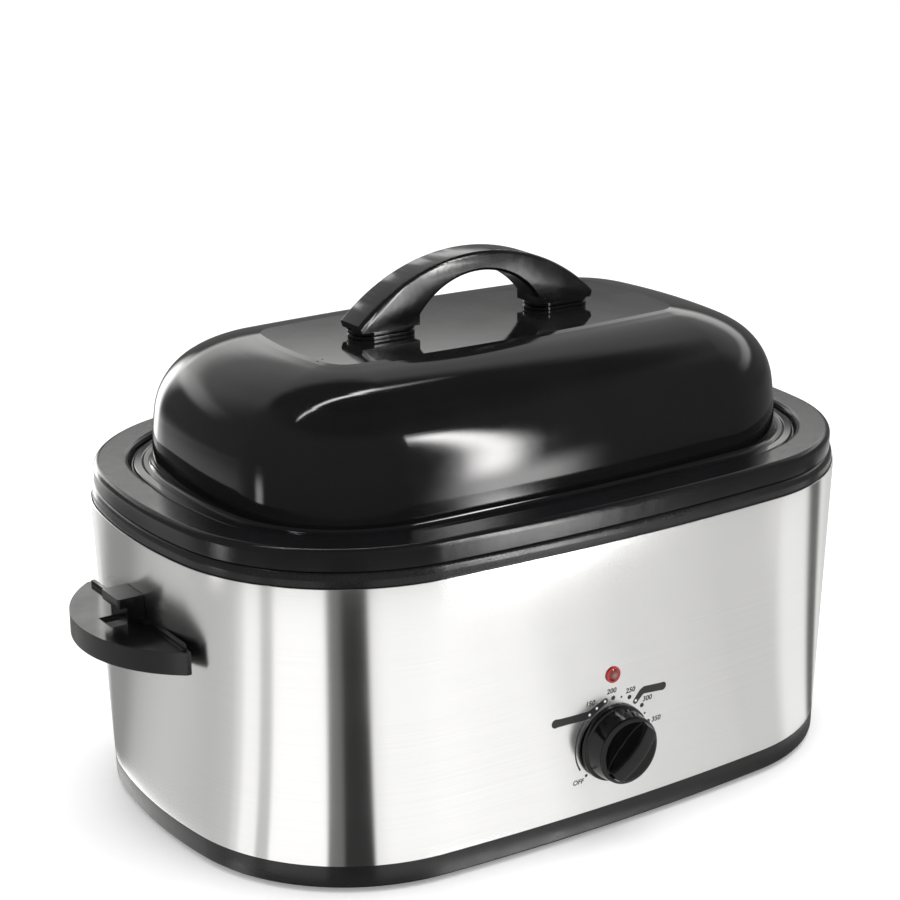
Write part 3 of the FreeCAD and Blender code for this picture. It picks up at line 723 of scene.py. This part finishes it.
wrap = wall.make("steel_wall")
done(wrap, "steel", "housing", "stainless", "outer_wrap")

skirt = ring("base_band", [(-0.8, 3.0), (0.1, 4.2), (0.5, SKIRT_TOP), (-2.2, SKIRT_TOP), (-2.2, 5.5), (-30.0, 5.5), (-30.0, 3.0)],
             [0.8, 1.2, 0.5, 0.3, 0.4, 0.4, 0.4])
done(skirt, "base", "housing", "base_black", "base_skirt")

rim = ring("housing_rim", [(5.8, 203.0), (5.8, 213.4), (5.0, 216.5), (2.4, 218.2), (-9.0, 218.2), (-10.8, 217.2),
                           (-11.4, 211.4), (-12.6, 210.4), (-22.0, 210.4), (-22.6, 209.6), (-22.0, 208.8), (-11.2, 208.8),
                           (-9.6, 210.2), (-9.2, 215.4), (-8.0, 216.2), (1.6, 216.2), (3.4, 215.2), (4.2, 212.6), (4.2, 203.0)],
           [0.5, 4.0, 4.5, 5.0, 2.2, 2.2, 1.2, 1.4, 0.7, 0.5, 0.5, 1.0, 1.4, 1.2, 1.2, 1.6, 2.0, 2.0, 0.5], step=8.0)
done(rim, "rim", "housing", "rim_black", "top_rim")

well = vessel("inner_liner", [(-3.0, 208.6), (-23.5, 208.6), (-26.4, 207.4), (-28.2, 204.4), (-29.4, 160.0), (-30.0, 76.0),
                              (-32.4, 66.0), (-38.6, 59.2), (-47.0, 56.5)],
              [1, 3.0, 4.0, 6.0, 60.0, 18.0, 12.0, 12.0, 1], 1.0, True)
done(well, "well", "housing", "enamel_black", "inner_well")

# ---------------------------------------------------------------- pan and lid
pan = vessel("enamel_pan", [(3.95, 218.5), (3.95, 228.6), (3.0, 231.0), (0.8, 232.3), (-17.6, 232.3), (-19.6, 231.2), (-20.6, 227.0),
                            (-21.6, 226.0), (-37.2, 226.0), (-38.2, 227.2), (-39.8, 227.2), (-41.6, 225.0), (-42.4, 214.0),
                            (-43.4, 92.0), (-45.2, 80.0), (-50.0, 71.6), (-60.0, 67.0)],
             [1, 4.0, 3.6, 4.0, 3.0, 2.0, 1.6, 1.6, 1.6, 1.5, 1.6, 3.0, 20.0, 40.0, 16.0, 14.0, 1], 1.3, True, step=7.0)
done(pan, "pan", "pan", "enamel_black", "roasting_pan")

SEAT = 226.3
lid = vessel("domed_lid", [(-22.6, SEAT), (-22.6, SEAT + 1.9), (-23.6, SEAT + 3.0), (-28.6, SEAT + 3.4), (-29.8, SEAT + 2.4),
                           (-33.6, SEAT + 2.4), (-35.2, SEAT + 4.2), (-36.2, 238.0), (-37.2, 256.0), (-39.4, 271.0), (-42.8, 280.6),
                           (-48.4, 289.6), (-56.4, 297.6), (-67.4, 304.4), (-80.6, 309.6), (-94.6, 313.2), (-107.0, 315.0), (-112.0, 315.6)],
             [1, 1.3, 1.5, 1.4, 1.6, 1.8, 3.0] + [400.0] * 9 + [6.0, 1], 1.0, True, step=3.0)
done(lid, "lid", "lid", "enamel_black", "lid_shell")



def vent_slit():
    # painted shade of the dark slot pressed in the lid: a near-black sheet laid on its curve where the slot's opening
    # is
    ca, sa = math.cos(math.radians(24.0)), math.sin(math.radians(24.0))
    lid.data.update()
    rows = []
    for scale, drop in ((1.0, 0.03), (0.72, 0.02)):
        ring_v = []
        for k in range(24):
            w = 2 * math.pi * k / 24
            u = (2.3 if math.cos(w) >= 0 else -2.3) + 0.9 * math.cos(w)
            v = 0.9 * math.sin(w)
            u, v = u * (scale if scale == 1.0 else 0.9), v * scale
            x, y = -140.0 + u * ca - v * sa, -36.0 + u * sa + v * ca
            ok, loc, nrm, _i = lid.ray_cast(Vector((x * MM, y * MM, 0.4)), Vector((0, 0, -1)))
            ring_v.append(loc + nrm * (drop * MM))
        rows.append(ring_v)
    verts = rows[0] + rows[1]
    faces = [(k, (k + 1) % 24, 24 + (k + 1) % 24, 24 + k) for k in range(24)] + [tuple(range(24, 48))]
    me = bpy.data.meshes.new("lid_vent_painted_shade")
    me.from_pydata([tuple(v) for v in verts], [], faces)
    me.update()
    o = bpy.data.objects.new("lid_vent_painted_shade", me)
    bpy.context.scene.collection.objects.link(o)
    done(o, "slot", "lid", "enamel_black")


vent_slit()

# ------------------------------------------------------------------- handles
for side in ("left", "right"):
    h = soften("side_handle_" + side, 0.7)
    done(h, "phenolic", "housing", "phenolic_black", "side_handle_" + side)
hb = soften("lid_handle", 0.6, angle=35.0)
done(hb, "handle", "lid", "phenolic_black", "lid_handle")
hp = soften("lid_handle_pads", 0.7, angle=35.0)
done(hp, "handle", "lid", "phenolic_black", "lid_handle_pads")
ft = soften("feet", 0.5, angle=35.0)
done(ft, "rubber", "housing", "rubber_black", "feet")
gl = soften("cord_gland", 0.4, angle=35.0)
done(gl, "rubber", "housing", "rubber_black", "cord_gland")

# ---------------------------------------------------------------------- knob
wall_y = HALF_W + wrap_offset(KNOB_Z)
ky = -wall_y - 1.2


def knob_mesh():
    bm = bmesh.new()
    seg = 160
    prof = [(25.2, 0.0), (26.3, 0.25), (26.6, 0.9), (26.2, 3.2), (25.6, 3.9), (24.9, 4.1), (24.6, 4.5), (24.2, 8.0), (23.7, 12.0), (23.35, 15.4)]
    rows = []
    for r, a in prof:
        rows.append([(r, a)] * seg)
    # the face: an edge roll, then two scooped hollows on both sides of a ridge
    off = math.radians(225.0)
    ring_r = [23.2, 22.8, 22.2, 21.4, 20.4, 19.2, 17.6, 15.8, 13.8, 11.6, 9.4, 7.2, 5.0, 2.8, 1.0]

    def face_h(x, z):
        # u runs along the ridge, v across it
        u = x * math.cos(off) + z * math.sin(off)
        v = -x * math.sin(off) + z * math.cos(off)
        r = math.hypot(x, z)
        edge = 16.4 + 1.6 * (1 - max(0.0, (r - 20.2) / 3.0) ** 2) if r > 20.2 else 18.0
        av = abs(v)
        # hollow floor
        hollow = 15.2 + 2.8 * (min(r, 20.2) / 20.2) ** 4
        base = min(edge, hollow) if r < 20.2 else edge
        # ridge with steep walls, crowned along its length
        crown = 27.0 - 0.010 * u * u
        if r > 20.0:
            crown -= (r - 20.0) * 3.1
        w = 5.0
        k = (av - w) / 1.9
        if k <= 0:
            top_h = crown - 0.35 * (av / w) ** 4
        elif k < 1:
            s = k * k * (3 - 2 * k)
            top_h = (crown - 0.35) * (1 - s) + base * s
        else:
            top_h = base
        return max(base, top_h) if av < w + 1.9 else base

    verts = []
    for r, a in prof:
        verts.append([bm.verts.new((r * math.cos(2 * math.pi * k / seg), -a, r * math.sin(2 * math.pi * k / seg))) for k in range(seg)])
    for i in range(len(verts) - 1):
        for k in range(seg):
            bm.faces.new((verts[i][k], verts[i][(k + 1) % seg], verts[i + 1][(k + 1) % seg], verts[i + 1][k])).smooth = True
    # the face as a fine square grid clipped to a disc keeps the ridge crisp
    n = 150
    rr = 23.2
    grid = {}
    for i in range(n + 1):
        for j in range(n + 1):
            a, b = -1 + 2 * i / n, -1 + 2 * j / n
            # square to disc, aligned with the ridge
            u = a * math.sqrt(1 - b * b / 2) * rr
            v = b * math.sqrt(1 - a * a / 2) * rr
            x = u * math.cos(off) - v * math.sin(off)
            z = u * math.sin(off) + v * math.cos(off)
            grid[(i, j)] = bm.verts.new((x, -face_h(x, z), z))
    for i in range(n):
        for j in range(n):
            bm.faces.new((grid[(i, j)], grid[(i + 1, j)], grid[(i + 1, j + 1)], grid[(i, j + 1)])).smooth = True
    # joining wall between the turned side and the face
    border = [grid[(i, 0)] for i in range(n)] + [grid[(n, j)] for j in range(n)] + [grid[(i, n)] for i in range(n, 0, -1)] + [grid[(0, j)] for j in range(n, 0, -1)]
    ang = [math.atan2(v.co.z, v.co.x) for v in border]
    low = []
    for v in border:
        a = math.atan2(v.co.z, v.co.x)
        low.append(bm.verts.new((23.35 * math.cos(a), -15.4, 23.35 * math.sin(a))))
    m = len(border)
    for i in range(m):
        bm.faces.new((border[i], border[(i + 1) % m], low[(i + 1) % m], low[i])).smooth = True
    bm.faces.new(verts[0])
    bmesh.ops.remove_doubles(bm, verts=bm.verts[:], dist=0.001)
    bmesh.ops.recalc_face_normals(bm, faces=bm.faces[:])
    for v in bm.verts:
        v.co = Vector(((KNOB_X + v.co.x) * MM, (ky + v.co.y) * MM, (KNOB_Z + v.co.z) * MM))
    me = bpy.data.meshes.new("dial_knob")
    bm.to_mesh(me)
    bm.free()
    o = bpy.data.objects.new("dial_knob", me)
    bpy.context.scene.collection.objects.link(o)
    return o


kn = weighted(knob_mesh())
done(kn, "knob", "knob", "phenolic_black", "control_knob")

lens_y = HALF_W + wrap_offset(LENS_Z)
lens = revolve("pilot_lens", [(5.0, -8.4), (5.0, 0.2), (5.3, 0.2), (5.6, 0.4), (5.65, 0.8), (5.5, 1.15), (5.2, 1.35), (4.9, 1.37),
                              (4.6, 1.25), (4.35, 1.05), (4.1, 1.15), (3.7, 1.55), (3.0, 1.95), (2.1, 2.25), (1.1, 2.38), (0.25, 2.4)],
               (LENS_X, -lens_y, LENS_Z))
weighted(lens)
done(lens, "lens", "housing", "lens_red", "indicator_lens")

# ---------------------------------------------------------------------- rack
g = GRID_Z
frame_pts = [(RACK_X, -84, g), (RACK_X, 84, g), (168, 93, g - 0.4), (158, 99.5, g - 3.0), (136, 103.5, g - 9.6), (128, 104, g - 10),
             (-128, 104, g - 10), (-136, 103.5, g - 9.6), (-158, 99.5, g - 3.0), (-168, 93, g - 0.4), (-RACK_X, 84, g),
             (-RACK_X, -84, g), (-168, -93, g - 0.4), (-158, -99.5, g - 3.0), (-136, -103.5, g - 9.6), (-128, -104, g - 10),
             (128, -104, g - 10), (136, -103.5, g - 9.6), (158, -99.5, g - 3.0), (168, -93, g - 0.4)]
fr = tubes("rack_frame_wire", [(frame_pts, WIRE_R, 14.0, True)], seg=20)
done(fr, "wire", "rack", "chrome_wire", "rack_frame")
items = []
for i, y in enumerate((-66.0, -33.0, 0.0, 33.0, 66.0)):
    x1 = RACK_X - WIRE_R - 0.02 + 0.4
    if i in (0, 2, 4):
        items.append(([(-x1, y, g), (-13, y, g), (-10.5, y, g - 1.6), (-2.5, y, g - 10.0), (2.5, y, g - 10.0),
                       (10.5, y, g - 1.6), (13, y, g), (x1, y, g)], ROD_R, 4.0, False))
    else:
        items.append(([(-x1, y, g), (x1, y, g)], ROD_R, 3.0, False))
rods = tubes("rack_long_wires", items)
done(rods, "wire", "rack", "chrome_wire", "rack_rods")
zc = g - 2 * ROD_R - 0.02
bars = tubes("rack_cross_wires", [([(sx * 166, -70.5, zc - 0.7), (sx * 154, -66, zc), (sx * 154, 66, zc), (sx * 166, 70.5, zc - 0.7)],
                                   ROD_R, 5.0, False) for sx in (-1, 1)])
done(bars, "wire", "rack", "chrome_wire", "rack_cross_bars")


def bail(side, sx):
    e, by = 4.2, 75.0
    # one wire: eye, leg, yoke, leg, eye
    path = []

    def eye(sy):
        y = sy * by
        return [(-e, y, 10.5), (-e, y, -6.0), (-0.7 * e, y, -8.9), (0, y, -10.2), (0.7 * e, y, -8.9),
                (e, y, -6.0), (e, y, 4.6), (0.6 * e, y, 7.8), (-e + 0.6, y, 10.0)]
    yoke = [(-e, -by, 9.0), (-e, -by, 29), (-e, -34, 80), (-e, -30, 84), (-e, -25, 85), (-e, 25, 85),
            (-e, 30, 84), (-e, 34, 80), (-e, by, 29), (-e, by, 9.0)]
    o = tubes("bail_wire_" + side, [(yoke, ROD_R, 9.0, False), (eye(-1), ROD_R, 3.0, False), (eye(1), ROD_R, 3.0, False)])
    m = Matrix.Rotation(math.radians(90), 4, "Y")
    if sx > 0:
        m = Matrix.Rotation(math.radians(180), 4, "Z") @ m
    m = Matrix.Translation((sx * RACK_X * MM, 0, g * MM)) @ m
    o.data.transform(m)
    return o


for side, sx in (("left", -1), ("right", 1)):
    done(bail(side, sx), "wire", "bail_" + side, "chrome_wire", "rack_bail_" + side)


# ------------------------------------------------------------ print on the wall
def on_wall(x, z, lift):
    return Vector((x * MM, -(half_width(x, wrap_offset(z)) + lift) * MM, z * MM))


def flat_piece(name, verts2, faces, lift, mat):
    me = bpy.data.meshes.new(name)
    me.from_pydata([on_wall(x, z, lift) for x, z in verts2], [], faces)
    me.update()
    o = bpy.data.objects.new(name, me)
    bpy.context.scene.collection.objects.link(o)
    done(o, mat, "housing", "stainless")
    return o


def numeral(body, x, z, size, lean=0.0):
    c = bpy.data.curves.new("n", "FONT")
    c.body = body
    c.size = size
    c.align_x = "CENTER"
    c.align_y = "CENTER"
    c.offset = size * 0.03
    c.shear = 0.12
    c.space_character = 1.04
    o = bpy.data.objects.new("n", c)
    bpy.context.scene.collection.objects.link(o)
    bpy.context.view_layer.update()
    dg = bpy.context.evaluated_depsgraph_get()
    me = bpy.data.meshes.new_from_object(o.evaluated_get(dg))
    bpy.data.objects.remove(o)
    v2 = []
    for v in me.vertices:
        a = math.radians(lean)
        u, w = v.co.x, v.co.y
        v2.append((x + u * math.cos(a) - w * math.sin(a), z + u * math.sin(a) + w * math.cos(a)))
    faces = [tuple(p.vertices) for p in me.polygons]
    nm = "print_" + "".join(ch for ch in body if ch.isalnum())
    flat_piece(nm, v2, faces, 0.03, "ink")


def disc(name, x, z, r, lift, mat, seg=28):
    v = [(x + r * math.cos(2 * math.pi * k / seg), z + r * math.sin(2 * math.pi * k / seg)) for k in range(seg)]
    flat_piece(name, v, [tuple(range(seg))], lift, mat)


def band(name, pts, widths, lift, mat, ends=True):
    """Flat line with round ends along 2-D points."""
    dense, wd = [], []
    for i in range(len(pts) - 1):
        (ax, az), (bx, bz) = pts[i], pts[i + 1]
        n = max(2, int(math.hypot(bx - ax, bz - az) / 1.5))
        for k in range(n):
            t = k / n
            dense.append((ax + (bx - ax) * t, az + (bz - az) * t))
            wd.append(widths[i] + (widths[i + 1] - widths[i]) * t)
    dense.append(pts[-1])
    wd.append(widths[-1])
    left, right = [], []
    m = len(dense)
    for i, (p, w) in enumerate(zip(dense, wd)):
        a = dense[max(0, i - 1)]
        b = dense[min(m - 1, i + 1)]
        dx, dz = b[0] - a[0], b[1] - a[1]
        l = math.hypot(dx, dz)
        nx, nz2 = -dz / l, dx / l
        left.append((p[0] + nx * w / 2, p[1] + nz2 * w / 2))
        right.append((p[0] - nx * w / 2, p[1] - nz2 * w / 2))
    verts = left + right
    faces = [(m + i, m + i + 1, i + 1, i) for i in range(m - 1)]
    flat_piece(name, verts, faces, lift, mat)
    if ends:
        disc(name + "_a", pts[0][0], pts[0][1], widths[0] / 2, lift, mat)
        disc(name + "_b", pts[-1][0], pts[-1][1], widths[-1] / 2, lift, mat)


for body, x, z in (("150", -25.1, 97.8), ("200", -8.0, 102.7), ("250", 7.8, 99.4), ("300", 22.4, 89.8), ("350", 30.9, 72.6),
                   ("400", 28.3, 57.8), ("450°F", 24.4, 43.4)):
    numeral(body, x, z, 5.0 if len(body) == 3 else 4.8)
numeral("OFF", -32.6, 42.6, 4.8)

for i, (x, z) in enumerate([(-6.4, 97.4), (7.2, 94.5), (18.1, 85.8), (24.1, 72.4), (25.9, 59.0), (22.6, 46.4), (-26.2, 46.0)]):
    disc("mark_large_%d" % i, x, z, 1.6 if i < 6 else 1.1, 0.03, "ink")
for i, (x, z) in enumerate([(0.4, 96.4), (20.9, 79.2), (25.7, 65.6), (24.9, 52.4)]):
    disc("mark_small_%d" % i, x, z, 0.8, 0.03, "ink")
band("badge_left", [(-52.1, 90.3), (-48.5, 90.2), (-27.0, 89.9), (-24.6, 90.5), (-12.9, 96.7)], [6.0, 5.6, 5.6, 5.2, 4.2], 0.03, "ink")
disc("badge_left_end", -52.1, 90.3, 3.2, 0.035, "ink")
for i, (x, z) in enumerate([(-25.3, 89.9), (-19.6, 93.2), (-13.1, 96.6)]):
    disc("badge_left_dot_%d" % i, x, z, 0.95, 0.06, "dot")
band("badge_right", [(35.3, 95.3), (19.6, 96.6), (17.2, 95.6), (12.4, 90.2)], [5.6, 5.4, 4.8, 4.0], 0.03, "ink")
disc("badge_right_end", 35.3, 95.3, 3.0, 0.035, "ink")
disc("badge_right_dot", 12.7, 90.6, 0.95, 0.06, "dot")
ax, az = KNOB_X, KNOB_Z
arc_pts, arc_w = [], []
for k in range(25):
    w = math.radians(143.0 + (212.0 - 143.0) * k / 24)
    arc_pts.append((ax + 30.6 * math.cos(w), az + 1.6 + 30.6 * math.sin(w)))
    arc_w.append(0.5 + 0.75 * k / 24)
band("dial_arc", arc_pts, arc_w, 0.03, "ink", ends=False)

# ---------------------------------------------------------------- the set
scene = bpy.context.scene


def stage_mesh(name, verts, faces):
    me = bpy.data.meshes.new(name)
    me.from_pydata(verts, [], faces)
    me.update()
    o = bpy.data.objects.new(name, me)
    scene.collection.objects.link(o)
    return o


def set_material(name, tone, rough=0.6, glow=0.0):
    m = Mat(name)
    n = m.noise(30.0, 3.0)
    m.link(m.ramp(n, [(0.3, tuple(tone * 0.985 for _ in range(3))), (0.7, (tone,) * 3)]), m.bsdf.inputs["Base Color"])
    m.link(m.remap(n, 0.3, 0.7, rough, rough + 0.05), m.bsdf.inputs["Roughness"])
    m.bump([(m.noise(700.0, 2.0), 0.05, 0.0002)])
    if glow:
        m.set(Emission_Color=(1, 1, 1, 1), Emission_Strength=glow)
    m.set(Specular_IOR_Level=0.15)
    return m.m


k = 96
floor = stage_mesh("floor", [(7 * math.cos(2 * math.pi * i / k), 7 * math.sin(2 * math.pi * i / k), -0.0005) for i in range(k)], [tuple(range(k))])
floor.data.materials.append(set_material("floor_pale", 0.9, glow=0.2))

floor.visible_glossy = False

# white studio; what reflections see is set by the dome and the boards below
world = bpy.data.worlds.new("studio")
scene.world = world
world.use_nodes = True
wt = world.node_tree
wt.nodes.clear()


def wnode(kind, **kw):
    n = wt.nodes.new(kind)
    for key, val in kw.items():
        setattr(n, key, val)
    return n


refl = wnode("ShaderNodeBackground")
refl.inputs[0].default_value = (1, 1, 1, 1)
refl.inputs[1].default_value = 0.05
plain = wnode("ShaderNodeBackground")
plain.inputs[0].default_value = (1, 1, 1, 1)
plain.inputs[1].default_value = 1.0
lp = wnode("ShaderNodeLightPath")
mixs = wnode("ShaderNodeMixShader")
wt.links.new(lp.outputs["Is Glossy Ray"], mixs.inputs[0])
wt.links.new(plain.outputs[0], mixs.inputs[1])
wt.links.new(refl.outputs[0], mixs.inputs[2])
wout = wnode("ShaderNodeOutputWorld")
wt.links.new(mixs.outputs[0], wout.inputs[0])


def area(name, loc, target, size, power, size_y=None, spread=None, glossy=True):
    li = bpy.data.lights.new(name, "AREA")
    li.shape = "RECTANGLE"
    li.size = size
    li.size_y = size_y or size
    li.energy = power
    if spread:
        li.spread = math.radians(spread)
    o = bpy.data.objects.new(name, li)
    scene.collection.objects.link(o)
    o.location = loc
    o.rotation_mode = "QUATERNION"
    o.rotation_quaternion = (Vector(target) - Vector(loc)).to_track_quat("-Z", "Y")
    o.visible_camera = False
    o.visible_glossy = glossy
    return o


# light and dark boards leaning round the housing; only reflections see them
BOARD_TONES = [
    (0, 0.62), (20, 0.92), (40, 0.95), (48, 0.12), (56, 0.1), (60, 0.9), (80, 0.8), (92, 0.6), (118, 0.95), (128, 0.9),
    (140, 0.3), (152, 0.30), (166, 0.52), (176, 0.62), (186, 0.56), (192, 0.62), (196, 0.80), (199, 1.12), (204, 1.1),
    (205.5, 0.6), (209, 0.62), (210.5, 1.2), (229.5, 1.2), (231.0, 0.2), (235, 0.16), (236.5, 0.03), (245.0, 0.03),
    (246.5, 1.0), (252, 1.12), (266, 1.12), (268.5, 1.05), (270.0, 0.86), (272, 0.74), (276, 0.66), (290, 0.66),
    (300, 0.95), (316, 0.95), (322, 0.12), (330, 0.1), (334, 0.9), (345, 0.7), (360, 0.62)]


def board_tone(deg):
    for (a, x), (b, y) in zip(BOARD_TONES[:-1], BOARD_TONES[1:]):
        if a <= deg <= b:
            t = (deg - a) / (b - a)
            t = t * t * (3 - 2 * t)
            return x + (y - x) * t
    return BOARD_TONES[-1][1]


def fine_samples():
    out = []
    p = math.pi
    for cx, cy, r, a0, a1, n in ((E_C, 0, R_END, -ANG_E, ANG_E, 60), (CX, CY, R_CORNER, ANG_E, ANG_S, 200),
                                 (0, S_C, R_SIDE, ANG_S, p - ANG_S, 80), (-CX, CY, R_CORNER, p - ANG_S, p - ANG_E, 200),
                                 (-E_C, 0, R_END, p - ANG_E, p + ANG_E, 60), (-CX, -CY, R_CORNER, p + ANG_E, p + ANG_S, 200),
                                 (0, -S_C, R_SIDE, p + ANG_S, 2 * p - ANG_S, 80), (CX, -CY, R_CORNER, 2 * p - ANG_S, 2 * p - ANG_E, 200)):
        for i in range(n):
            out.append((cx, cy, r, a0 + (a1 - a0) * i / n))
    return out


def boards():
    verts, faces, tone = [], [], []
    fs = fine_samples()
    rows = [(15.0, 0.2), (100.0, 175.0)]
    for d, z in rows:
        for cx, cy, r, a in fs:
            verts.append(((cx + (r + d) * math.cos(a)) * MM, (cy + (r + d) * math.sin(a)) * MM, z * MM))
            tone.append(board_tone(math.degrees(a) % 360))
    n = len(fs)
    for j in range(n):
        faces.append((j, (j + 1) % n, n + (j + 1) % n, n + j))
    o = stage_mesh("boards", verts, faces)
    at = o.data.attributes.new("tone", "FLOAT", "POINT")
    at.data.foreach_set("value", tone)
    m = bpy.data.materials.new("boards_paper")
    m.use_nodes = True
    t = m.node_tree
    t.nodes.clear()
    out = t.nodes.new("ShaderNodeOutputMaterial")
    em = t.nodes.new("ShaderNodeEmission")
    an = t.nodes.new("ShaderNodeAttribute")
    an.attribute_name = "tone"
    em.inputs[0].default_value = (1.0, 0.995, 0.985, 1)
    t.links.new(an.outputs["Fac"], em.inputs[1])
    t.links.new(em.outputs[0], out.inputs[0])
    o.data.materials.append(m)
    o.visible_camera = False
    o.visible_diffuse = False
    o.visible_shadow = False
    o.visible_transmission = False
    return o


boards()


def glossy_only(o):
    o.visible_camera = False
    o.visible_diffuse = False
    o.visible_shadow = False
    o.visible_transmission = False


def step_up(x, a, b):
    t = max(0.0, min(1.0, (x - a) / (b - a)))
    return t * t * (3 - 2 * t)


def window(x, lo, hi, soft):
    return step_up(x, lo - soft, lo + soft) * (1 - step_up(x, hi - soft, hi + soft))


def table(x, rows):
    for (a, u), (b, v) in zip(rows[:-1], rows[1:]):
        if x <= b:
            return u + (v - u) * step_up(x, a, b)
    return rows[-1][1]


def dome_tone(az, el):
    # az in degrees from +X, el above the floor plane
    t = 0.22 if el < 40 else 0.22 - 0.14 * step_up(el, 40, 60)
    back = table(el, [(-4.0, 0.12), (4.0, 0.2), (14.6, 0.22), (19.0, 2.1), (23.0, 2.0), (28.0, 0.7), (43.0, 0.6), (50.0, 0.05)])
    t = t + (back - t) * window(az, -12.0, 118.0, 14.0) * step_up(el, -8.0, 2.0)
    # streak on the left, grey below it
    t += 6.5 * window(az, 86.0, 102.0, 7.0) * window(el, -14.0, 17.0, 8.0)
    t += 0.55 * window(az, 92.0, 146.0, 12.0) * window(el, -60.0, -9.0, 5.0)
    t += 1.2 * window(az, 84.0, 128.0, 12.0) * window(el, -60.0, -24.0, 4.0)
    t += 5.0 * window(az, 163.5, 169.5, 2.0) * window(el, -60.0, -8.0, 4.0)
    # soft box in front
    f = az if az < 180 else az - 360
    t += 34.0 * window(f, -66.5, -62.3, 1.8) * window(el, -9.0, 36.0, 5.0)
    t += 10.0 * window(f, -67.0, -57.0, 3.0) * window(el, -60.0, -9.0, 5.0)
    return t


def dome():
    rad = 3.0
    az_n = 240
    els = [-56.0 + 1.75 * i for i in range(84)]
    verts, tone, faces = [], [], []
    for e in els:
        for i in range(az_n):
            a = 360.0 * i / az_n
            ca, sa = math.cos(math.radians(a)), math.sin(math.radians(a))
            ce, se = math.cos(math.radians(e)), math.sin(math.radians(e))
            verts.append((rad * ce * ca, rad * ce * sa, 0.25 + rad * se))
            tone.append(dome_tone(a if a < 200 else a - 360, e))
    for j in range(len(els) - 1):
        for i in range(az_n):
            a, b = j * az_n + i, j * az_n + (i + 1) % az_n
            faces.append((a, a + az_n, b + az_n, b))
    o = stage_mesh("dome", verts, faces)
    o.data.attributes.new("tone", "FLOAT", "POINT").data.foreach_set("value", tone)
    o.data.materials.append(bpy.data.materials["boards_paper"])
    glossy_only(o)


def line_card():
    # thin strip light overhead: a bright line on the lid and along the rims
    c = Vector((-0.12, -0.09, 0.42))
    p0, p1 = Vector((-1.35, 0.36, 2.42)), Vector((1.12, 0.95, 2.05))
    ctr = [p0.lerp(p1, i / 40) for i in range(41)]
    verts, faces, tone = [], [], []
    for i, q in enumerate(ctr):
        tan = (ctr[min(i + 1, len(ctr) - 1)] - ctr[max(i - 1, 0)]).normalized()
        side = tan.cross((q - c).normalized())
        fade = step_up(i, -1, 8) * (1 - step_up(i, len(ctr) - 10, len(ctr)))
        for w, b in ((-0.05, 0.0), (-0.022, 16.0), (0.022, 16.0), (0.05, 0.0)):
            verts.append(tuple(q + side * w))
            tone.append(b * fade + 0.05)
    for i in range(len(ctr) - 1):
        for k in range(3):
            a = i * 4 + k
            faces.append((a, a + 1, a + 5, a + 4))
    o = stage_mesh("line_card", verts, faces)
    o.data.attributes.new("tone", "FLOAT", "POINT").data.foreach_set("value", tone)
    o.data.materials.append(bpy.data.materials["boards_paper"])
    glossy_only(o)


dome()
line_card()
area("key_top", (0.2, -0.3, 2.4), (0, 0, 0.1), 2.2, 26.0, 2.2, glossy=False)

# --------------------------------------------------------------------- camera
cam_data = bpy.data.cameras.new("camera")
cam = bpy.data.objects.new("camera", cam_data)
scene.collection.objects.link(cam)
right = Vector((0.826807, -0.562482, -0.001957))
up = Vector((0.173997, 0.252451, 0.951837))
fwd = Vector((0.534897, 0.787326, -0.306599))
rot = Matrix((right, up, -fwd)).transposed()
cam.matrix_world = Matrix.Translation((-0.7980, -1.1922, 0.6780)) @ rot.to_4x4()
cam_data.sensor_width = 36.0
cam_data.sensor_fit = "AUTO"
cam_data.lens = 85.54
cam_data.shift_x = -0.03826
cam_data.shift_y = 0.00663
cam_data.clip_start = 0.05
cam_data.clip_end = 60.0
cam_data.dof.use_dof = False
scene.camera = cam

scene.view_settings.view_transform = "Standard"
scene.view_settings.look = "None"
